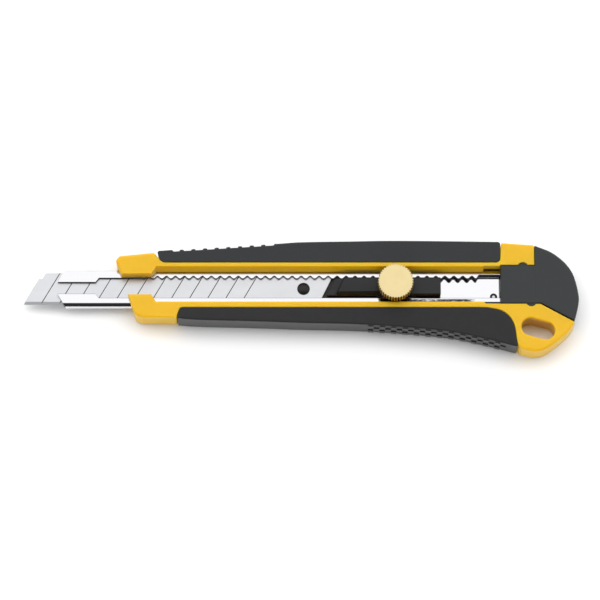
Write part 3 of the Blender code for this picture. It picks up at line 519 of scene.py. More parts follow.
def block(lows, highs):
    work = bmesh.new()
    bmesh.ops.create_cube(work, size=1.0)
    for vertex in work.verts:
        vertex.co = Vector([low if c < 0 else high for c, low, high in zip(vertex.co, lows, highs)])
    return work


def cylinder(centre, radius, low, high, sides=64):
    work = bmesh.new()
    bmesh.ops.create_cone(
        work, cap_ends=True, segments=sides, radius1=radius, radius2=radius, depth=high - low
    )
    bmesh.ops.translate(work, verts=work.verts, vec=(centre[0], centre[1], (low + high) / 2))
    return work


def along_x(section, start, end, far_section=None):
    """A closed (y, z) section drawn out along X, changing to a second section where one is given."""
    work = bmesh.new()
    ends = ((start, section), (end, far_section or section))
    rings = [[work.verts.new((x, y, z)) for y, z in line] for x, line in ends]
    bridge(work, rings, closed=True)
    work.faces.new(reversed(rings[0]))
    work.faces.new(rings[1])
    bmesh.ops.recalc_face_normals(work, faces=work.faces)
    return work


def turned(profile, centre, sides=96):
    """A (radius, height) profile turned about a vertical axis; radius 0 closes an end."""
    work = bmesh.new()
    rings = []
    for radius, height in profile:
        if radius == 0:
            rings.append([work.verts.new((centre[0], centre[1], height))])
            continue
        rings.append([work.verts.new((x, y, height)) for x, y in arc(centre, radius, 0, 360, sides)[:-1]])
    join_round(work, rings)
    bmesh.ops.recalc_face_normals(work, faces=work.faces)
    return work


def loose_object(name, work):
    mesh = bpy.data.meshes.new(name)
    work.to_mesh(mesh)
    work.free()
    thing = bpy.data.objects.new(name, mesh)
    bpy.context.scene.collection.objects.link(thing)
    return thing


def carved(work, steps):
    """The mesh after a list of (operation, other mesh) Booleans, as a new bmesh."""
    base = loose_object("base", work)
    helpers = []
    for operation, other in steps:
        helper = loose_object("helper", other)
        modifier = base.modifiers.new(operation, "BOOLEAN")
        modifier.operation = operation
        modifier.solver = "MANIFOLD"
        modifier.object = helper
        helpers.append(helper)
    graph = bpy.context.evaluated_depsgraph_get()
    mesh = bpy.data.meshes.new_from_object(base.evaluated_get(graph))
    result = bmesh.new()
    result.from_mesh(mesh)
    for thing in [base, *helpers]:
        spent = thing.data
        bpy.data.objects.remove(thing)
        bpy.data.meshes.remove(spent)
    bpy.data.meshes.remove(mesh)
    if not result.faces:
        raise RuntimeError("a Boolean left nothing of a piece")
    return result


def finished(name, work, body, material, stands_for=(), sharp=35.0):
    """Turns a drawing in millimetres into a piece of the knife that rides on its body."""
    mesh = bpy.data.meshes.new(name)
    work.to_mesh(mesh)
    work.free()
    mesh.transform(TO_FRAME)
    for surface in material if isinstance(material, tuple) else (material,):
        mesh.materials.append(surface)
    mesh.shade_smooth()
    mesh.set_sharp_from_angle(angle=math.radians(sharp))
    piece = bpy.data.objects.new(name, mesh)
    bpy.context.scene.collection.objects.link(piece)
    weighted = piece.modifiers.new("Normals", "WEIGHTED_NORMAL")
    weighted.keep_sharp = True
    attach(piece, body)
    if stands_for:
        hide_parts(*stands_for)
    return piece


def repaint(name, material):
    """A frame node whose shape is right takes its finished material."""
    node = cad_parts[name]
    node.data.materials.clear()
    node.data.materials.append(material)


# --- Drawing of the handle, in millimetres from the rail's centre line ---

# The seams between shell and grips run straight at this distance from the centre line.
LAND = 6.4
SEAM_GAP = 0.05
UPPER_SEAM = filleted(
    [(-39.7, 9.35, 0), (-38.9, LAND, 1.9), (54.75, LAND, 1.2), (54.95, 12.35, 0)], 6, False
)
LOWER_SEAM = [
    *filleted([(-34.0, -9.5, 0), (-33.5, -LAND, 1.1), (48.0, -LAND, 0)], 6, False),
    *smooth_line(
        [(51.0, -6.45), (54.9, -7.3), (57.4, -9.3), (58.6, -12.0), (59.0, -15.0), (59.45, -17.3)], 5
    ),
]
# The grips' outer edges without their bumps and pads.
UPPER_EDGE = smooth_line(
    [
        (-39.7, 9.35),
        (-28.0, 10.0),
        (-8.0, 11.3),
        (0.0, 11.98),
        (16.0, 12.5),
        (27.0, 12.62),
        (41.0, 12.5),
        (54.95, 12.3),
    ],
    6,
)
LOWER_EDGE = smooth_line(
    [
        (-34.0, -9.5),
        (-28.0, -10.0),
        (-14.0, -10.35),
        (0.0, -10.85),
        (18.0, -11.35),
        (38.3, -13.0),
        (49.4, -15.1),
        (59.6, -17.7),
    ],
    6,
)
LANYARD_CORNER = [
    (75.05, -10.75),
    (73.7, -12.7),
    (71.7, -14.75),
    (69.4, -16.6),
    (67.4, -17.95),
    (65.5, -18.7),
    (63.2, -18.75),
    (60.3, -18.05),
]
LANYARD_CENTRE = (65.0, -12.4)
LANYARD_LENGTH = 9.3
LANYARD_WIDTH = 5.1
LANYARD_TILT = -15.5
LANYARD_ROUND = 0.35
SLOT_FLOOR = RAIL_HIGH.z - 0.2
SLOPE_FOOT_Z = 5.3
# The slot narrows between these two X towards the nose, and ends at the third.
NARROW_FROM_X = -40.0
NARROW_TO_X = -41.3
SLOT_REAR_X = 51.0
REAR_X = 64.2
TONGUE_TOP_Y = 5.6
TONGUE_BOTTOM_Y = -5.3
SNAP_WIDTH = 2.5
SNAP_HEIGHT = 0.75
GRIP_STEP_X = -6.5
GRIP_STEP_RISE = 0.35
GRIP_STEP_LENGTH = 20.0
GRIP_BUMP_COUNT = 8
GRIP_BUMP_FIRST_X = -33.0
GRIP_BUMP_PITCH = 3.215
GRIP_BUMP_HALF = 0.63
GRIP_BUMP_RISE = 0.4
PAD_FIRST_X = 19.1
PAD_LAST_X = 55.5
PAD_PITCH = 3.16
PAD_HALF = 0.76
PAD_ROOT = 1.6
# Each row of pads by its bottom, its top and its stagger, which is a share of the pitch.
PAD_ROWS = ((6.0, 8.0, 0.0), (3.7, 5.7, 0.5), (1.4, 3.4, 0.0))


def snap_circle(side):
    """Centre and radius of the snap bump above (side 1) or below (side -1) the cap's tongue."""
    radius = (SNAP_WIDTH**2 / 4 + SNAP_HEIGHT**2) / (2 * SNAP_HEIGHT)
    if side > 0:
        return (61.0, TONGUE_TOP_Y + SNAP_HEIGHT - radius), radius
    return (63.2, TONGUE_BOTTOM_Y - SNAP_HEIGHT + radius), radius


def shell_outline(sizes):
    """The yellow outline with the edge radius at each point."""
    wide, fine = sizes.shell_round, 0.22
    rounds = []
    line = []

    def add(points, radius):
        line.extend(points)
        rounds.extend([radius] * len(points))

    nose = [(-46.9, -5.2, 0), (-49.55, 3.0, 0), (-51.25, 7.0, 1.0), (-50.2, 8.32, 1.1)]
    nose += [(-40.5, 9.28, 0.9), (-39.8, 8.2, 0)]
    add(filleted(nose, 5, False), wide)
    add(shifted(UPPER_SEAM, -SEAM_GAP)[2:-1], fine)
    add([(55.02, 11.4)], fine)
    block_top = [(55.02, 11.4, 0), (55.15, 11.95, 0.45), (REAR_X, 11.3, 0.4), (REAR_X, 9.0, 0)]
    add(filleted(block_top, 4, False)[1:], 0.35)
    add([(REAR_X, -5.45), (65.75, -5.45), (74.7, -10.4)], fine)
    add(smooth_line(LANYARD_CORNER, 5), wide)
    add(list(reversed(shifted(LOWER_SEAM, SEAM_GAP)[1:-1])), fine)
    add(filleted([(-34.12, -8.5, 0), (-34.2, -9.25, 0.45), (-36.0, -9.24, 0)], 4, False), 0.35)
    lower_nose = [(-36.0, -9.24, 0), (-43.6, -9.2, 1.2), (-45.6, -8.6, 1.2), (-46.9, -5.2, 0)]
    add(filleted(lower_nose, 5, False)[1:-1], wide)
    return line, rounds


def slot_section(upper, upper_foot, lower, brim):
    """Section of the slot: a slope above a short wall on the +Y side, a plain wall on the other."""
    line = [(upper_foot, SLOT_FLOOR), (upper_foot, SLOPE_FOOT_Z), (upper - 0.2, BODY_TOP - 0.42)]
    line += [(upper - 0.12, BODY_TOP - 0.17), (upper, BODY_TOP), (upper, BODY_TOP + 1)]
    line += [(lower - brim, BODY_TOP + 1)]
    line += arc((lower - brim, BODY_TOP - brim), brim, 84, 5, 5)
    return line + [(lower + 0.15, SLOT_FLOOR + 0.6), (lower + 0.15, SLOT_FLOOR)]


def stadium(length, width, centre, tilt, steps):
    """A slot with round ends, turned by a tilt in degrees."""
    reach = (length - width) / 2
    flat = arc((reach, 0.0), width / 2, -90, 90, steps) + arc((-reach, 0.0), width / 2, 90, 270, steps)
    turn = Matrix.Rotation(math.radians(tilt), 2)
    return [tuple(turn @ Vector(point) + Vector(centre)) for point in flat]


def lanyard_cutter():
    """The straight lanyard hole, flared by a small round at both of its mouths."""
    work = bmesh.new()
    rings = []
    levels = [(LANYARD_ROUND, -0.3)]
    for k in range(5):
        turn = math.pi / 2 * k / 4
        levels.append((LANYARD_ROUND * (1 - math.sin(turn)), LANYARD_ROUND * (1 - math.cos(turn)) + 0.001))
    levels += [(grow, BODY_TOP - z) for grow, z in reversed(levels)]
    for grow, z in levels:
        length, width = LANYARD_LENGTH + 2 * grow, LANYARD_WIDTH + 2 * grow
        outline = stadium(length, width, LANYARD_CENTRE, LANYARD_TILT, 16)
        rings.append([work.verts.new((x, y, z)) for x, y in outline])
    bridge(work, rings, closed=True)
    work.faces.new(reversed(rings[0]))
    work.faces.new(rings[-1])
    bmesh.ops.recalc_face_normals(work, faces=work.faces)
    return work


def shell_mesh(sizes):
    """The shell cut for the rail, the slot, the cap's pocket with its snaps and the lanyard hole."""
    line, rounds = shell_outline(sizes)
    work = soft_prism(line, 0.0, BODY_TOP, rounds, steps=5)
    room = RAIL_HALF + 0.15
    pocket = filleted([(50.2, -5.4, 0.8), (56.0, -5.4, 0), (56.0, 5.4, 0), (50.2, 5.4, 0.4)])
    wide = slot_section(5.34, 4.45, -4.75, sizes.slot_round)
    narrow = slot_section(3.3, 3.0, -2.65, sizes.slot_round)
    cuts = [
        block((-60.0, -room, RAIL_LOW.z - 0.15), (REAR_X + 1, room, RAIL_HIGH.z + 0.15)),
        along_x(wide, NARROW_FROM_X, SLOT_REAR_X),
        along_x(narrow, NARROW_TO_X, NARROW_FROM_X + 0.02, wide),
        along_x(narrow, -60.0, NARROW_TO_X + 0.02),
        soft_prism(pocket, SLOT_FLOOR + 0.02, BODY_TOP + 1, 0.0),
        block(
            (54.7, TONGUE_BOTTOM_Y - 0.15, SLOT_FLOOR + 0.1),
            (REAR_X + 2, TONGUE_TOP_Y + 0.12, BODY_TOP + 2),
        ),
        lanyard_cutter(),
    ]
    for side in (1, -1):
        centre, radius = snap_circle(side)
        cuts.append(cylinder(centre, radius + 0.12, 6.3, BODY_TOP + 1))
    return carved(work, [("DIFFERENCE", part) for part in cuts])


def grip_top_edge():
    """Outer edge of the upper grip from the rear to the nose, with its step, bumps and pad."""
    line = filleted([(54.9, 11.0, 0), (54.9, 12.3, 0.75), (53.6, 12.33, 0)], 5, False)[1:-1]
    # Behind the bumps the edge stands proud and sinks back to the plain curve.
    for x, y in reversed(UPPER_EDGE):
        if GRIP_STEP_X < x < 53.9:
            line.append((x, y + GRIP_STEP_RISE * max(0.0, 1 - (x - GRIP_STEP_X) / GRIP_STEP_LENGTH)))
    line += arc((-7.2, height_at(UPPER_EDGE, -7.2) + GRIP_BUMP_RISE - 0.35), 0.35, 80, 180, 4)
    line += [(-7.75, height_at(UPPER_EDGE, -7.75))]
    for i in reversed(range(GRIP_BUMP_COUNT)):
        centre = GRIP_BUMP_FIRST_X + GRIP_BUMP_PITCH * i
        base = height_at(UPPER_EDGE, centre)
        slope = height_at(UPPER_EDGE, centre + 1) - base
        for k in range(9):
            turn = math.pi * k / 8
            across = math.cos(turn) * GRIP_BUMP_HALF
            rise = math.sin(turn) ** 0.8 * GRIP_BUMP_RISE
            line.append((centre + across, base + slope * across + rise))
    pad = height_at(UPPER_EDGE, -35.6)
    front = [(-35.2, pad, 0), (-35.7, pad + GRIP_BUMP_RISE, 0.25), (-39.3, 9.72, 0.3), (-39.6, 9.3, 0)]
    return line + filleted(front, 4, False)[:-1]


def grip_mesh(seam, edge, sizes):
    """A grip between its seam, which has a tight edge, and its rounded outer edge."""
    line = [*seam, *edge]
    rounds = [0.15] * len(seam) + [sizes.grip_round] * len(edge)
    return soft_prism(line, 0.2, BODY_TOP + 0.02, rounds, steps=5)


def grip_pads(sizes):
    """Raised chequer pads on the lower grip's side, in three staggered rows."""
    pads = []
    for low, high, stagger in PAD_ROWS:
        for i in range(12):
            x = PAD_FIRST_X + PAD_PITCH * (i + stagger)
            if x > PAD_LAST_X:
                continue
            y = height_at(LOWER_EDGE, x)
            slope = height_at(LOWER_EDGE, x + 0.5) - height_at(LOWER_EDGE, x - 0.5)
            along = Vector((1.0, slope)).normalized()
            out = Vector((along.y, -along.x))
            side = along * PAD_HALF
            inner = Vector((x, y)) - out * PAD_ROOT
            outer = Vector((x, y)) + out * sizes.pad_height
            corners = [tuple(c) for c in (inner - side, inner + side, outer + side, outer - side)]
            # Tops differ by a micron so that no two pads share a plane.
            pads.append(soft_prism(corners, low, high + 0.001 * (i % 3), 0.16, steps=2))
    return pads


# --- Drawing of the rail ---

TOOTH_PITCH = 2.48
TOOTH_FIRST_X = -42.2
TOOTH_COUNT = 37
# Behind the rail's narrow nose both lips step in over a short ramp.
NOSE_END_X = -56.8
NOSE_RAMP = 0.9
LIP_STEP = 1.2
UPPER_NOSE_Y = 1.65
LOWER_NOSE_Y = -1.6
SHEET = 0.6


def lip_upper(x):
    """Y of the upper lip's edge: a narrow nose, a plain stretch and the rounded teeth."""
    if x < NOSE_END_X:
        return UPPER_NOSE_Y
    if x < NOSE_END_X + NOSE_RAMP:
        return UPPER_NOSE_Y + (x - NOSE_END_X) / NOSE_RAMP * LIP_STEP
    if x < TOOTH_FIRST_X - TOOTH_PITCH / 2:
        return UPPER_NOSE_Y + LIP_STEP
    last = TOOTH_FIRST_X + TOOTH_PITCH * (TOOTH_COUNT - 0.5)
    if x < last:
        wave = math.cos(2 * math.pi * (x - TOOTH_FIRST_X) / TOOTH_PITCH)
        # Valleys are rounder than tips, as a punch with round teeth leaves them.
        return 3.06 + 0.385 * (wave + 0.12 * (wave * wave - 1))
    return min(3.73, 2.72 + (x - last) * 1.6)


def lip_lower(x):
    """Y of the lower lip's edge: a narrow nose and a plain stretch."""
    if x < NOSE_END_X:
        return LOWER_NOSE_Y
    return max(LOWER_NOSE_Y - LIP_STEP, LOWER_NOSE_Y - (x - NOSE_END_X) / NOSE_RAMP * LIP_STEP)


def nose_x(y):
    """X of the rail's front end at this Y: blunt in the middle, swept back at both sides."""
    if y > 1.7:
        return -67.2 + (y - 1.7) * 0.5
    if y < -1.64:
        return -67.3 + (-1.64 - y) * 0.6
    return -67.25


def rail_section(upper, lower):
    """The sheet's section as one closed (y, z) line, round the outside and back inside."""
    middle = (RAIL_LOW.z + RAIL_HIGH.z) / 2
    outer = (RAIL_HIGH.z - RAIL_LOW.z) / 2
    inner = outer - SHEET
    fold = RAIL_HALF - outer
    soft = 0.1
    outside = [(upper, RAIL_HIGH.z - soft), (upper + soft, RAIL_HIGH.z)]
    outside += arc((fold, middle), outer, 90, -90, 14)
    outside += [(y, RAIL_LOW.z) for y in (2.0, 0.0, -2.0)]
    outside += arc((-fold, middle), outer, 270, 90, 14)
    outside += [(lower - soft, RAIL_HIGH.z), (lower, RAIL_HIGH.z - soft)]
    inside = [(lower, RAIL_HIGH.z - SHEET)]
    inside += arc((-fold, middle), inner, 90, 270, 10)
    inside += [(y, RAIL_LOW.z + SHEET) for y in (-2.0, 0.0, 2.0)]
    inside += arc((fold, middle), inner, -90, 90, 10)
    inside += [(upper, RAIL_HIGH.z - SHEET)]
    return outside + inside


def rail_mesh():
    """The folded rail as one loft, whose sections follow the two lips."""
    stations = [-66.6 + 0.7 * i for i in range(14)] + [-56.8, -56.5, -56.2, -55.9, -50.0, -44.0]
    step = TOOTH_PITCH / 12
    stations += [TOOTH_FIRST_X + step * (i - 6) for i in range(12 * TOOTH_COUNT + 1)]
    stations += [48.6, 48.9, 49.3, 52.0, RAIL_HIGH.x]
    work = bmesh.new()
    rings = []
    first = rail_section(lip_upper(-67), lip_lower(-67))
    rings.append([work.verts.new((nose_x(y), y, z)) for y, z in first])
    for x in stations:
        section = rail_section(lip_upper(x), lip_lower(x))
        rings.append([work.verts.new((max(x, nose_x(y) + 0.02 * (x + 67.5)), y, z)) for y, z in section])
    bridge(work, rings, closed=True)
    # The section's outside: two points at each lip, two folds of 15 and three under the floor.
    outside_count = 2 + 15 + 3 + 15 + 2
    for ring in (rings[0], rings[-1]):
        close_end(work, ring[:outside_count], ring[outside_count:][::-1])
    bmesh.ops.recalc_face_normals(work, faces=work.faces)
    work.normal_update()
    # The lips' cut edges and the cut front end take the second material, a dark grey of painted shade: it
    # stands for the gap under the lip and its mirror image in the blade.
    for face in work.faces:
        place = face.calc_center_median()
        on_lip = place.z > RAIL_HIGH.z - SHEET - 0.02 and abs(place.y) < 4.0 and abs(face.normal.z) < 0.8
        face.material_index = int(on_lip or face.normal.x < -0.4)
    return work


def close_end(work, outer, inner):
    """Fills the sheet's cut end, between its outer and its inner line."""
    i = j = 0
    while i < len(outer) - 1 or j < len(inner) - 1:
        ahead_outer = i / (len(outer) - 1)
        ahead_inner = j / (len(inner) - 1)
        if j == len(inner) - 1 or (i < len(outer) - 1 and ahead_outer <= ahead_inner):
            work.faces.new((outer[i], outer[i + 1], inner[j]))
            i += 1
        else:
            work.faces.new((outer[i], inner[j + 1], inner[j]))
            j += 1


def rivet_mesh():
    """The rivet's rolled head, hollow in the middle, with a dark arc of shade on its far side."""
    low, high = RIVET_LOW.z, RIVET_HIGH.z
    head = (RIVET_HIGH.x - RIVET_LOW.x) / 2
    shank = 0.6
    seat = RAIL_LOW.z + SHEET + 0.1
    centre = ((RIVET_LOW.x + RIVET_HIGH.x) / 2, (RIVET_LOW.y + RIVET_HIGH.y) / 2 - CENTRE_Y)
    profile = [(0.0, low), (shank, low), (shank, seat), (head, seat), (head, seat + 0.12)]
    profile += [(head - 0.1, high - 0.12), (head - 0.28, high), (head - 0.45, high - 0.04)]
    profile += [(0.42, high - 0.34), (0.0, high - 0.38)]
    work = turned(profile, centre, 48)
    for face in work.faces:
        place = face.calc_center_median()
        away = math.hypot(place.x - centre[0], place.y - centre[1])
        on_head = 0.5 < away < 0.98 and place.z > seat + 0.1
        face.material_index = int(on_head and place.y > centre[1] - 0.35)
    return work


# --- Drawing of the blade ---


BLADE_HALF = 4.5
BLADE_TIP_X = -76.6
BLADE_TAIL_X = 4.7
BLADE_TAIL_ANGLE = 64.0
# The cutting edge is ground from this Y down to the lower side.
EDGE_GRIND_Y = -3.5
SCORE_COUNT = 12
SCORE_PITCH = 5.0
SCORE_FIRST_X = -71.9
SCORE_ANGLE = 60.0
SCORE_DEPTH = 0.13


def edge_grind(middle, face, side):
    """The wedge ground away from one face (side 1 or -1) along the cutting edge."""
    slope = (face - middle - side * 0.02) / 0.8
    section = [
        (-5.2, middle + side * 0.02 - slope * 0.7),
        (EDGE_GRIND_Y, face + slope * 0.2),
        (EDGE_GRIND_Y, face + side * 0.5),
        (-5.2, face + side * 0.5),
    ]
    return along_x(section, -79.0, 14.0)


def score_groove(start, high, width):
    """A slanted V groove across the blade's top face."""
    half = width / 2
    groove = bmesh.new()
    rings = []
    for y in (-5.5, 5.5):
        x = start + (y + BLADE_HALF) / math.tan(math.radians(SCORE_ANGLE))
        section = [(x - half, high + 0.01), (x, high - SCORE_DEPTH), (x + half, high + 0.01)]
        section += [(x + half, high + 0.3), (x - half, high + 0.3)]
        rings.append([groove.verts.new((px, y, pz)) for px, pz in section])
    bridge(groove, rings, closed=True)
    groove.faces.new(reversed(rings[0]))
    groove.faces.new(rings[1])
    bmesh.ops.recalc_face_normals(groove, faces=groove.faces)
    return groove


def blade_mesh(sizes):
    """The strip with its ground edge, pin hole and score grooves, whose walls take the second material: a
    dark grey of painted shade.
    """
    low, high = BLADE_LOW.z, BLADE_HIGH.z
    rise = 2 * BLADE_HALF / math.tan(math.radians(BLADE_TAIL_ANGLE))
    outline = [(BLADE_TIP_X, -BLADE_HALF), (BLADE_TAIL_X, -BLADE_HALF), (BLADE_TAIL_X + rise, BLADE_HALF)]
    outline += [(-70.6, BLADE_HALF), (-71.5, 2.9), (-72.5, 2.9)]
    work = soft_prism(outline, low, high, 0.03, steps=1)
    middle = (low + high) / 2
    steps = []
    for side in (1, -1):
        steps.append(("DIFFERENCE", edge_grind(middle, middle + side * (high - low) / 2, side)))
    steps.append(("DIFFERENCE", cylinder((PIN_X, 0.0), 1.75, low - 1, high + 1)))
    for i in range(SCORE_COUNT):
        start = SCORE_FIRST_X + SCORE_PITCH * i
        steps.append(("DIFFERENCE", score_groove(start, high, sizes.score_width)))
    work = carved(work, steps)
    work.normal_update()
    # Painted shade: the score grooves' slanted walls take the dark grey.
    for face in work.faces:
        inside = abs(face.calc_center_median().y) < BLADE_HALF - 0.1
        face.material_index = int(inside and abs(face.normal.x) > 0.3 and face.normal.z > 0.2)
    return work


def pin_mesh():
    """The pin through the blade's hole: a thin foot, a short wall and a dome."""
    low, high = PIN_LOW.z, PIN_HIGH.z
    radius, wall = 1.68, 4.0
    profile = [(0.0, low), (1.0, low), (1.0, 3.42), (1.62, 3.42), (radius, 3.5), (radius, wall)]
    for angle in (0.25, 0.5, 0.8, 1.1, 1.35):
        profile.append((radius * math.cos(angle), wall + (high - wall) * math.sin(angle)))
    return turned([*profile, (0.0, high)], (PIN_X, 0.0), 64)


# --- Drawing of the slider, the wheel and the cap ---


COVER_HALF = 2.45
COVER_BASE_Z = 4.05
COVER_FOOT_X = 8.2
COVER_ANGLE = 64.0
# Section of the long bevel on the cover's lower side, as Y and the drop below the top.
COVER_BEVEL = [(-1.5, -0.01), (-1.9, 0.22), (-2.25, 0.6), (-2.47, 1.1)]
COVER_BEVEL += [(-3.2, 1.1), (-3.2, -0.5), (-1.5, -0.5)]


def slanted(x, half):
    """The two ends of a line across the slider, leaning as its front does."""
    lean = 1 / math.tan(math.radians(COVER_ANGLE))
    return (x + lean * -half, -half), (x + lean * half, half)


def cover_mesh():
    """The black ridge: a low slanted foot in front and a long flat-topped body behind it."""
    half = COVER_HALF
    low, high = COVER_LOW.z, COVER_HIGH.z
    front_low, front_high = slanted(COVER_FOOT_X, half)
    foot = [front_low, (16.0, -half), (16.0, half), front_high]
    outline = filleted([(x, y, 0.15) for x, y in foot], 3)
    work = soft_prism(outline, COVER_BASE_Z, high - 1.1, 0.25, 0.1, steps=3)
    front_low, front_high = slanted(COVER_FOOT_X + 2.5, half)
    body = [front_low, (COVER_HIGH.x, -half), (COVER_HIGH.x, half), front_high]
    outline = filleted([(x, y, 0.3) for x, y in body], 4)
    top = soft_prism(outline, COVER_BASE_Z + 0.03, high, 0.3, 0.1, steps=4)
    bevel = [(y, high - drop) for y, drop in COVER_BEVEL]
    front_low, front_high = slanted(COVER_FOOT_X + 2.25, half + 1)
    rear_low, rear_high = slanted(COVER_FOOT_X + 2.62, half + 1)
    crease = [front_low, rear_low, rear_high, front_high]
    steps = [
        ("UNION", top),
        ("DIFFERENCE", along_x(bevel, 5.0, WHEEL_X)),
        ("DIFFERENCE", block((20.4, -half - 1, COVER_BASE_Z - 1), (31.9, half + 1, COVER_BASE_Z + 0.45))),
        ("DIFFERENCE", cylinder((WHEEL_X, 0.0), 1.75, COVER_BASE_Z - 1, high + 1)),
        ("DIFFERENCE", soft_prism(crease, high - 1.5, high + 1, 0.0)),
    ]
    for x in (15.0, 35.0):
        steps.append(("UNION", cylinder((x, 0.0), 1.0, low, COVER_BASE_Z + 0.8, 32)))
    return carved(work, steps)


def wheel_mesh(sizes):
    """A rim with V grooves that run out through both chamfers, under a faced top with a blind bore."""
    top, bottom = WHEEL_HIGH.z, WHEEL_LOW.z
    outer = (WHEEL_HIGH.x - WHEEL_LOW.x) / 2
    levels = [(1.75, top - 0.9), (1.75, bottom), (outer - 0.6, bottom), (outer - 0.42, bottom)]
    levels += [(outer - 0.12, bottom + 0.18), (outer, bottom + 0.42), (outer, top - 0.3)]
    levels += [(outer - 0.05, top - 0.12), (outer - 0.16, top), (outer - 0.6, top)]
    # The face dishes by a few hundredths towards the middle, as a facing cut leaves it.
    levels += [(3.9, top), (3.0, top - 0.015), (2.0, top - 0.03), (1.0, top - 0.04), (0.3, top - 0.045)]
    work = bmesh.new()
    rings = [[work.verts.new((WHEEL_X, 0.0, top - 0.9))]]
    rings += [knurled_ring(work, radius, height, outer, sizes) for radius, height in levels]
    rings.append([work.verts.new((WHEEL_X, 0.0, top - 0.05))])
    join_round(work, rings)
    bmesh.ops.recalc_face_normals(work, faces=work.faces)
    work.normal_update()
    # The knurl's groove flanks take the second material, a darker brass: painted shade.
    for face in work.faces:
        place = face.calc_center_median()
        away = math.hypot(place.x - WHEEL_X, place.y)
        face.material_index = int(outer - 0.6 < away < outer - 0.15 and abs(face.normal.z) < 0.9)
    return work


def knurled_ring(work, radius, height, outer, sizes):
    """A ring at this radius, cut back where a knurl groove is deeper."""
    per_ridge = 8
    sides = sizes.knurl_count * per_ridge
    ring = []
    for i in range(sides):
        turn = 2 * math.pi * i / sides
        groove = abs(2 * (i % per_ridge) / per_ridge - 1)
        here = min(radius, outer - sizes.knurl_depth * max(0.0, groove - 0.2) / 0.8)
        ring.append(work.verts.new((WHEEL_X + here * math.cos(turn), here * math.sin(turn), height)))
    return ring


# The cap's rounded back, from its lower corner to its upper one.
CAP_BACK = [
    (75.1, -9.95),
    (75.6, -8.1),
    (76.05, -6.2),
    (76.35, -3.9),
    (76.0, -1.2),
    (75.35, 1.6),
    (74.4, 3.95),
    (72.75, 6.25),
    (70.5, 8.3),
    (68.3, 9.7),
    (65.6, 10.8),
    (64.5, 11.15),
]


def cap_mesh(sizes):
    """The cap with its tongue, the tongue's thin finger and both snap bumps."""
    front = REAR_X + 0.1
    curve = smooth_line(CAP_BACK, 5)
    line = [(front, -5.15), (65.8, -5.15), (74.85, -10.1), *curve, (front, 11.1)]
    rounds = [0.2, 0.2, 0.35, *[sizes.cap_round] * len(curve), 0.2]
    work = soft_prism(line, 0.0, BODY_TOP, rounds, steps=5)
    tongue = [(54.9, TONGUE_BOTTOM_Y, 0.4), (68.0, TONGUE_BOTTOM_Y, 0)]
    tongue += [(68.0, TONGUE_TOP_Y, 0), (54.9, TONGUE_TOP_Y, 0.8)]
    steps = [("UNION", soft_prism(filleted(tongue, 6), 5.0, BODY_TOP - 0.06, 0.3, steps=4))]
    # A thin finger reaches forward along the pocket's lower wall.
    steps.append(("UNION", block((50.4, TONGUE_BOTTOM_Y + 0.03, 5.02), (55.4, -4.25, 6.0))))
    for side in (1, -1):
        centre, radius = snap_circle(side)
        steps.append(("UNION", cylinder(centre, radius, 6.6, BODY_TOP - 0.25)))
    return carved(work, steps)


# --- Add-on: sizes and colours ---


def size_property(name, description, size):
    return FloatProperty(name=name, description=f"{description}, in mm", default=size)


class KnifeSizes(bpy.types.PropertyGroup):
    """Sizes in millimetres of details that the frame leaves open."""

    shell_round: size_property("Shell edge", "Radius of the shell's outer edges", 0.8)
    slot_round: size_property("Slot edge", "Radius along the slot's upper edges", 0.35)
    grip_round: size_property("Grip edge", "Radius of the grips' outer edges", 0.45)
    pad_height: size_property("Pad height", "How far the chequer pads stand out", 0.4)
    score_width: size_property("Score width", "Width of a score line on the blade", 0.27)
    knurl_depth: size_property("Knurl depth", "Depth of the wheel's knurl", 0.5)
    knurl_count: IntProperty(
        name="Knurl ridges", description="Ridges round the wheel's rim", default=40, min=12
    )
    cap_round: size_property("Cap edge", "Radius of the end cap's curved edge", 0.7)


def colour_property(name, description, code):
    return FloatVectorProperty(
        name=name, description=description, subtype="COLOR", size=3, min=0.0, max=1.0, default=linear(code)
    )


class KnifeColours(bpy.types.PropertyGroup):
    """Colours of the knife's materials."""

    shell: colour_property("Shell", "Moulded ABS of the shell", "#D6AA0C")
    upper_grip: colour_property("Upper grip", "Rubber of the upper grip", "#1D1F21")
    lower_grip: colour_property("Lower grip", "Rubber of the lower grip", "#101012")
    cap: colour_property("End cap", "Moulded plastic of the end cap", "#242728")
    slider: colour_property("Slider", "Nylon of the carrier, its cover and the pin", "#101113")
    stainless: colour_property("Rail", "Rolled stainless of the rail", "#E0E0E3")
    blade: colour_property("Blade", "Ground steel of the blade", "#D0D1D4")
    # Dark grey of painted shade on the rail's cut edges, the score grooves and the rivet head's far side.
    painted_shade_grey: colour_property("Cut edge", "Sheared sheet edges and score grooves", "#3C3C40")
    # Darker brass of painted shade in the knurl's grooves.
    knurl_shade: colour_property("Tarnish", "Darkened brass in the knurl's grooves", "#8A6428")
    etched: colour_property("Etched strip", "Acid-etched strip on the rail", "#3A3B3E")
    zinc: colour_property("Plated steel", "Plated steel of the lock plate, screw and rivet", "#C3C6CA")
    dark_steel: colour_property("Dark steel", "Blackened steel of both washers", "#4A4B50")
    brass: colour_property("Brass", "Turned brass of the thumb wheel", "#DDCB98")


class StudioSettings(bpy.types.PropertyGroup):
    """Camera and lights."""

    tilt: FloatProperty(
        name="Camera elevation",
        description="Angle of the camera above the floor",
        subtype="ANGLE",
        default=math.radians(75),
    )
    lens: FloatProperty(name="Lens", description="Focal length of the camera, in mm", default=240.0, min=10.0)
    view_width: FloatProperty(
        name="View width", description="Width of the view at the knife, in mm", default=165.7
    )
    key_power: FloatProperty(
        name="Key light", description="Power of the softbox above and behind", unit="POWER", default=3.7
    )
    fill_power: FloatProperty(
        name="Fill light", description="Power of the softbox in front", unit="POWER", default=4.4
    )
    sky_strength: FloatProperty(
        name="Surround", description="Brightness of the pale surround", default=1.3
    )


# --- Add-on: operators ---


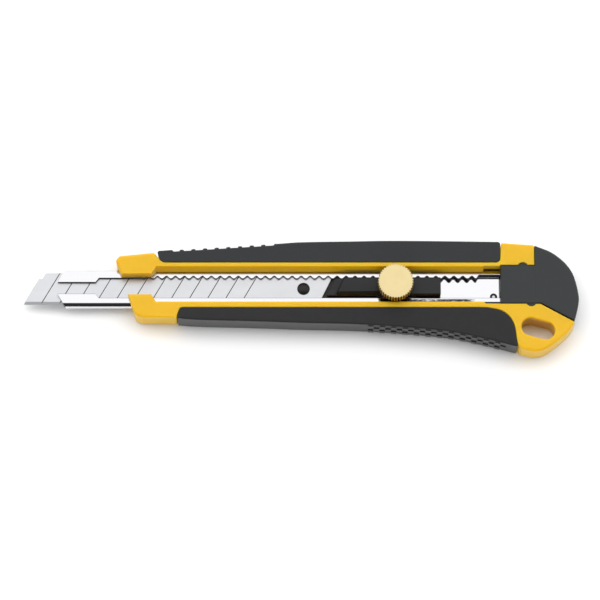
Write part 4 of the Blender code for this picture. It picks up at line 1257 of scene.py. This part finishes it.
class KNIFE_OT_shell(bpy.types.Operator):
    """Yellow moulded shell with its slot, nose, rear block and lanyard corner"""

    bl_idname = "knife.shell"
    bl_label = "Shell"

    def execute(self, context):
        material = moulded_abs(tuple(context.scene.knife_colours.shell))
        work = shell_mesh(context.scene.knife_sizes)
        finished("shell_moulding", work, "handle", material, ["body_shell"])
        return {"FINISHED"}


class KNIFE_OT_grips(bpy.types.Operator):
    """Both overmoulded rubber grips, with finger bumps above and chequer pads below"""

    bl_idname = "knife.grips"
    bl_label = "Grips"

    def execute(self, context):
        sizes = context.scene.knife_sizes
        colours = context.scene.knife_colours
        top_rubber = rubber_grip("overmoulded_rubber_upper", tuple(colours.upper_grip))
        low_rubber = rubber_grip("overmoulded_rubber_lower", tuple(colours.lower_grip))
        work = grip_mesh(shifted(UPPER_SEAM, SEAM_GAP)[:-1], grip_top_edge(), sizes)
        finished("grip_upper_moulding", work, "handle", top_rubber, ["upper_grip"])
        edge = filleted([(59.35, -16.9, 0), (59.3, -17.6, 0.5), (57.5, -17.1, 0)], 4, False)[1:-1]
        edge += [point for point in reversed(LOWER_EDGE) if -33.9 < point[0] < 57.9]
        work = grip_mesh(shifted(LOWER_SEAM, -SEAM_GAP)[:-1], edge, sizes)
        work = carved(work, [("UNION", pad) for pad in grip_pads(sizes)])
        finished("grip_lower_moulding", work, "handle", low_rubber, ["lower_grip"])
        return {"FINISHED"}


class KNIFE_OT_rail(bpy.types.Operator):
    """Folded stainless rail with its toothed lip, and the rivet that holds it"""

    bl_idname = "knife.rail"
    bl_label = "Rail"

    def execute(self, context):
        colours = context.scene.knife_colours
        # The second material is painted shade: a dark grey on the lips' cut edges and on the rivet head's far
        # side.
        edge_shade = plain_metal("edge_painted_shade", tuple(colours.painted_shade_grey), 0.5)
        surfaces = (rolled_stainless(), edge_shade)
        work = rail_mesh()
        finished("rail_folded", work, "handle", surfaces, ["blade_channel"], 40.0)
        upset = (plain_metal("upset_steel_rivet", tuple(colours.zinc), 0.22), edge_shade)
        work = rivet_mesh()
        finished("rivet_upset", work, "handle", upset, ["channel_rivet"], 30.0)
        return {"FINISHED"}


class KNIFE_OT_blade(bpy.types.Operator):
    """Scored snap-off blade and the domed pin through its hole"""

    bl_idname = "knife.blade"
    bl_label = "Blade"

    def execute(self, context):
        work = blade_mesh(context.scene.knife_sizes)
        # The grooves' dark grey is painted shade.
        score = plain_metal("score_groove_painted_shade", tuple(context.scene.knife_colours.painted_shade_grey), 0.6)
        surfaces = (ground_blade_steel(), score)
        finished("blade_scored", work, "slider", surfaces, ["blade"], 10.0)
        colour = tuple(context.scene.knife_colours.slider)
        material = moulded_plastic("moulded_nylon_pin", colour, 0.4, 0.15, 0.01)
        finished("pin_domed", pin_mesh(), "slider", material, ["blade_pin"], 40.0)
        return {"FINISHED"}


class KNIFE_OT_slider(bpy.types.Operator):
    """Black carrier and its stepped cover"""

    bl_idname = "knife.slider"
    bl_label = "Slider"

    def execute(self, context):
        colour = tuple(context.scene.knife_colours.slider)
        material = moulded_plastic("moulded_nylon_black", colour, 0.42, 0.15, 0.012)
        finished("cover_moulding", cover_mesh(), "slider", material, ["slider_cover"])
        repaint("blade_carrier", material)
        return {"FINISHED"}


class KNIFE_OT_lock(bpy.types.Operator):
    """Lock plate, square-headed screw and both washers"""

    bl_idname = "knife.lock"
    bl_label = "Lock"

    def execute(self, context):
        colours = context.scene.knife_colours
        zinc = plain_metal("zinc_plated_steel", tuple(colours.zinc), 0.35)
        dark = plain_metal("blackened_spring_steel", tuple(colours.dark_steel), 0.35)
        for name in ("lock_plate", "lock_screw"):
            repaint(name, zinc)
        for name in ("flat_washer", "wave_washer"):
            repaint(name, dark)
        return {"FINISHED"}


class KNIFE_OT_wheel(bpy.types.Operator):
    """Knurled brass thumb wheel"""

    bl_idname = "knife.wheel"
    bl_label = "Thumb wheel"

    def execute(self, context):
        work = wheel_mesh(context.scene.knife_sizes)
        # A darker brass paints the shade in the knurl's grooves.
        groove_shade = plain_metal("knurl_painted_shade", tuple(context.scene.knife_colours.knurl_shade), 0.5)
        surfaces = (turned_brass(), groove_shade)
        finished("wheel_knurled", work, "wheel", surfaces, ["thumb_wheel"], 25.0)
        return {"FINISHED"}


class KNIFE_OT_cap(bpy.types.Operator):
    """Pull-off end cap with its tongue and snap bumps"""

    bl_idname = "knife.cap"
    bl_label = "End cap"

    def execute(self, context):
        colour = tuple(context.scene.knife_colours.cap)
        material = moulded_plastic("moulded_polypropylene_grey", colour, 0.5, 0.2, 0.015)
        work = cap_mesh(context.scene.knife_sizes)
        finished("cap_moulding", work, "cap", material, ["end_cap"])
        return {"FINISHED"}


class KNIFE_OT_stage(bpy.types.Operator):
    """White card floor, soft lights, pale surround and the camera"""

    bl_idname = "knife.stage"
    bl_label = "Stage"

    def execute(self, context):
        studio = context.scene.knife_studio
        floor = loose_object("card_floor", block((-3000.0, -3000.0, -2.0), (3000.0, 3000.0, -0.02)))
        floor.data.transform(Matrix.Scale(MM, 4))
        floor.data.materials.append(white_card())
        place_camera(context, studio)
        softbox("overhead_diffuser", (0.0, 0.24, 0.84), (1.2, 0.45), studio.key_power)
        softbox("fill_front", (0.0, -0.97, 0.34), (0.9, 0.3), studio.fill_power)
        pale_surround(context, studio)
        context.scene.view_settings.view_transform = "Standard"
        return {"FINISHED"}


SENSOR_MM = 36.0


def place_camera(context, studio):
    """The long lens looks along +Y, from high above, at a point just below the blade's line."""
    camera = bpy.data.objects.new("camera", bpy.data.cameras.new("camera"))
    context.scene.collection.objects.link(camera)
    camera.data.lens = studio.lens
    camera.data.sensor_width = SENSOR_MM
    camera.data.clip_end = 20.0
    tilt = studio.tilt
    up = Vector((0.0, math.sin(tilt), math.cos(tilt)))
    out = Vector((0.0, -math.cos(tilt), math.sin(tilt)))
    aim = Vector((-0.37, CENTRE_Y, BLADE_HIGH.z)) - up * 3.07
    distance = studio.lens / SENSOR_MM * studio.view_width
    camera.location = (aim + out * distance) * MM
    camera.rotation_euler = (math.pi / 2 - tilt, 0.0, 0.0)
    context.scene.camera = camera


def softbox(name, place, size, power):
    light = bpy.data.lights.new(name, "AREA")
    light.shape = "RECTANGLE"
    light.size = size[0]
    light.size_y = size[1]
    light.energy = power
    lamp = bpy.data.objects.new(name, light)
    lamp.location = place
    lamp.rotation_euler = (-Vector(place)).to_track_quat("-Z", "Y").to_euler()
    # The lamps only light the diffuse colour: polished faces mirror the surround alone.
    lamp.visible_glossy = False
    bpy.context.scene.collection.objects.link(lamp)
    return lamp


def pale_surround(context, studio):
    """A pale room with one dark opening in front, so that polished folds show a black line."""
    world = bpy.data.worlds.new("pale_surround")
    world.use_nodes = True
    tree = world.node_tree
    background = tree.nodes["Background"]
    place = add_node(tree, "ShaderNodeTexCoord")
    parts = add_node(tree, "ShaderNodeSeparateXYZ", links={"Vector": place.outputs["Generated"]})
    edge = add_node(
        tree,
        "ShaderNodeMapRange",
        {"interpolation_type": "SMOOTHSTEP"},
        {"Value": parts.outputs["Y"]},
        {"From Min": -0.26, "From Max": -0.04, "To Min": 0.0, "To Max": 1.0},
    )
    aside = add_node(tree, "ShaderNodeMath", {"operation": "ABSOLUTE"}, {0: parts.outputs["X"]})
    flank = add_node(
        tree,
        "ShaderNodeMapRange",
        {"interpolation_type": "SMOOTHSTEP"},
        {"Value": aside.outputs["Value"]},
        {"From Min": 0.28, "From Max": 0.5, "To Max": 0.4},
    )
    both = {0: edge.outputs["Result"], 1: flank.outputs["Result"]}
    pale = add_node(tree, "ShaderNodeMath", {"operation": "MAXIMUM"}, both)
    mix = add_node(tree, "ShaderNodeMix", {"data_type": "RGBA"}, {"Factor": pale.outputs["Value"]})
    mix.inputs["A"].default_value = (*linear("#2A2A2C"), 1.0)
    mix.inputs["B"].default_value = (*linear("#FFFFFF"), 1.0)
    tree.links.new(mix.outputs["Result"], background.inputs["Color"])
    background.inputs["Strength"].default_value = studio.sky_strength
    context.scene.world = world


class KNIFE_PT_panel(bpy.types.Panel):
    """Lists the knife's operators and their settings"""

    bl_idname = "KNIFE_PT_panel"
    bl_label = "Utility knife"
    bl_space_type = "VIEW_3D"
    bl_region_type = "UI"
    bl_category = "Knife"

    def draw(self, context):
        layout = self.layout
        for operator in OPERATORS:
            layout.operator(operator.bl_idname)
        for group in (context.scene.knife_sizes, context.scene.knife_colours, context.scene.knife_studio):
            for name in group.__annotations__:
                layout.prop(group, name)


OPERATORS = (
    KNIFE_OT_shell,
    KNIFE_OT_grips,
    KNIFE_OT_rail,
    KNIFE_OT_blade,
    KNIFE_OT_slider,
    KNIFE_OT_lock,
    KNIFE_OT_wheel,
    KNIFE_OT_cap,
    KNIFE_OT_stage,
)
GROUPS = (KnifeSizes, KnifeColours, StudioSettings)


def register():
    for kind in (*GROUPS, *OPERATORS, KNIFE_PT_panel):
        bpy.utils.register_class(kind)
    bpy.types.Scene.knife_sizes = PointerProperty(type=KnifeSizes)
    bpy.types.Scene.knife_colours = PointerProperty(type=KnifeColours)
    bpy.types.Scene.knife_studio = PointerProperty(type=StudioSettings)


def unregister():
    del bpy.types.Scene.knife_sizes
    del bpy.types.Scene.knife_colours
    del bpy.types.Scene.knife_studio
    for kind in (KNIFE_PT_panel, *reversed(OPERATORS), *reversed(GROUPS)):
        bpy.utils.unregister_class(kind)


def main():
    register()
    for operator in OPERATORS:
        group, name = operator.bl_idname.split(".")
        getattr(getattr(bpy.ops, group), name)()


if __name__ == "__main__":
    main()
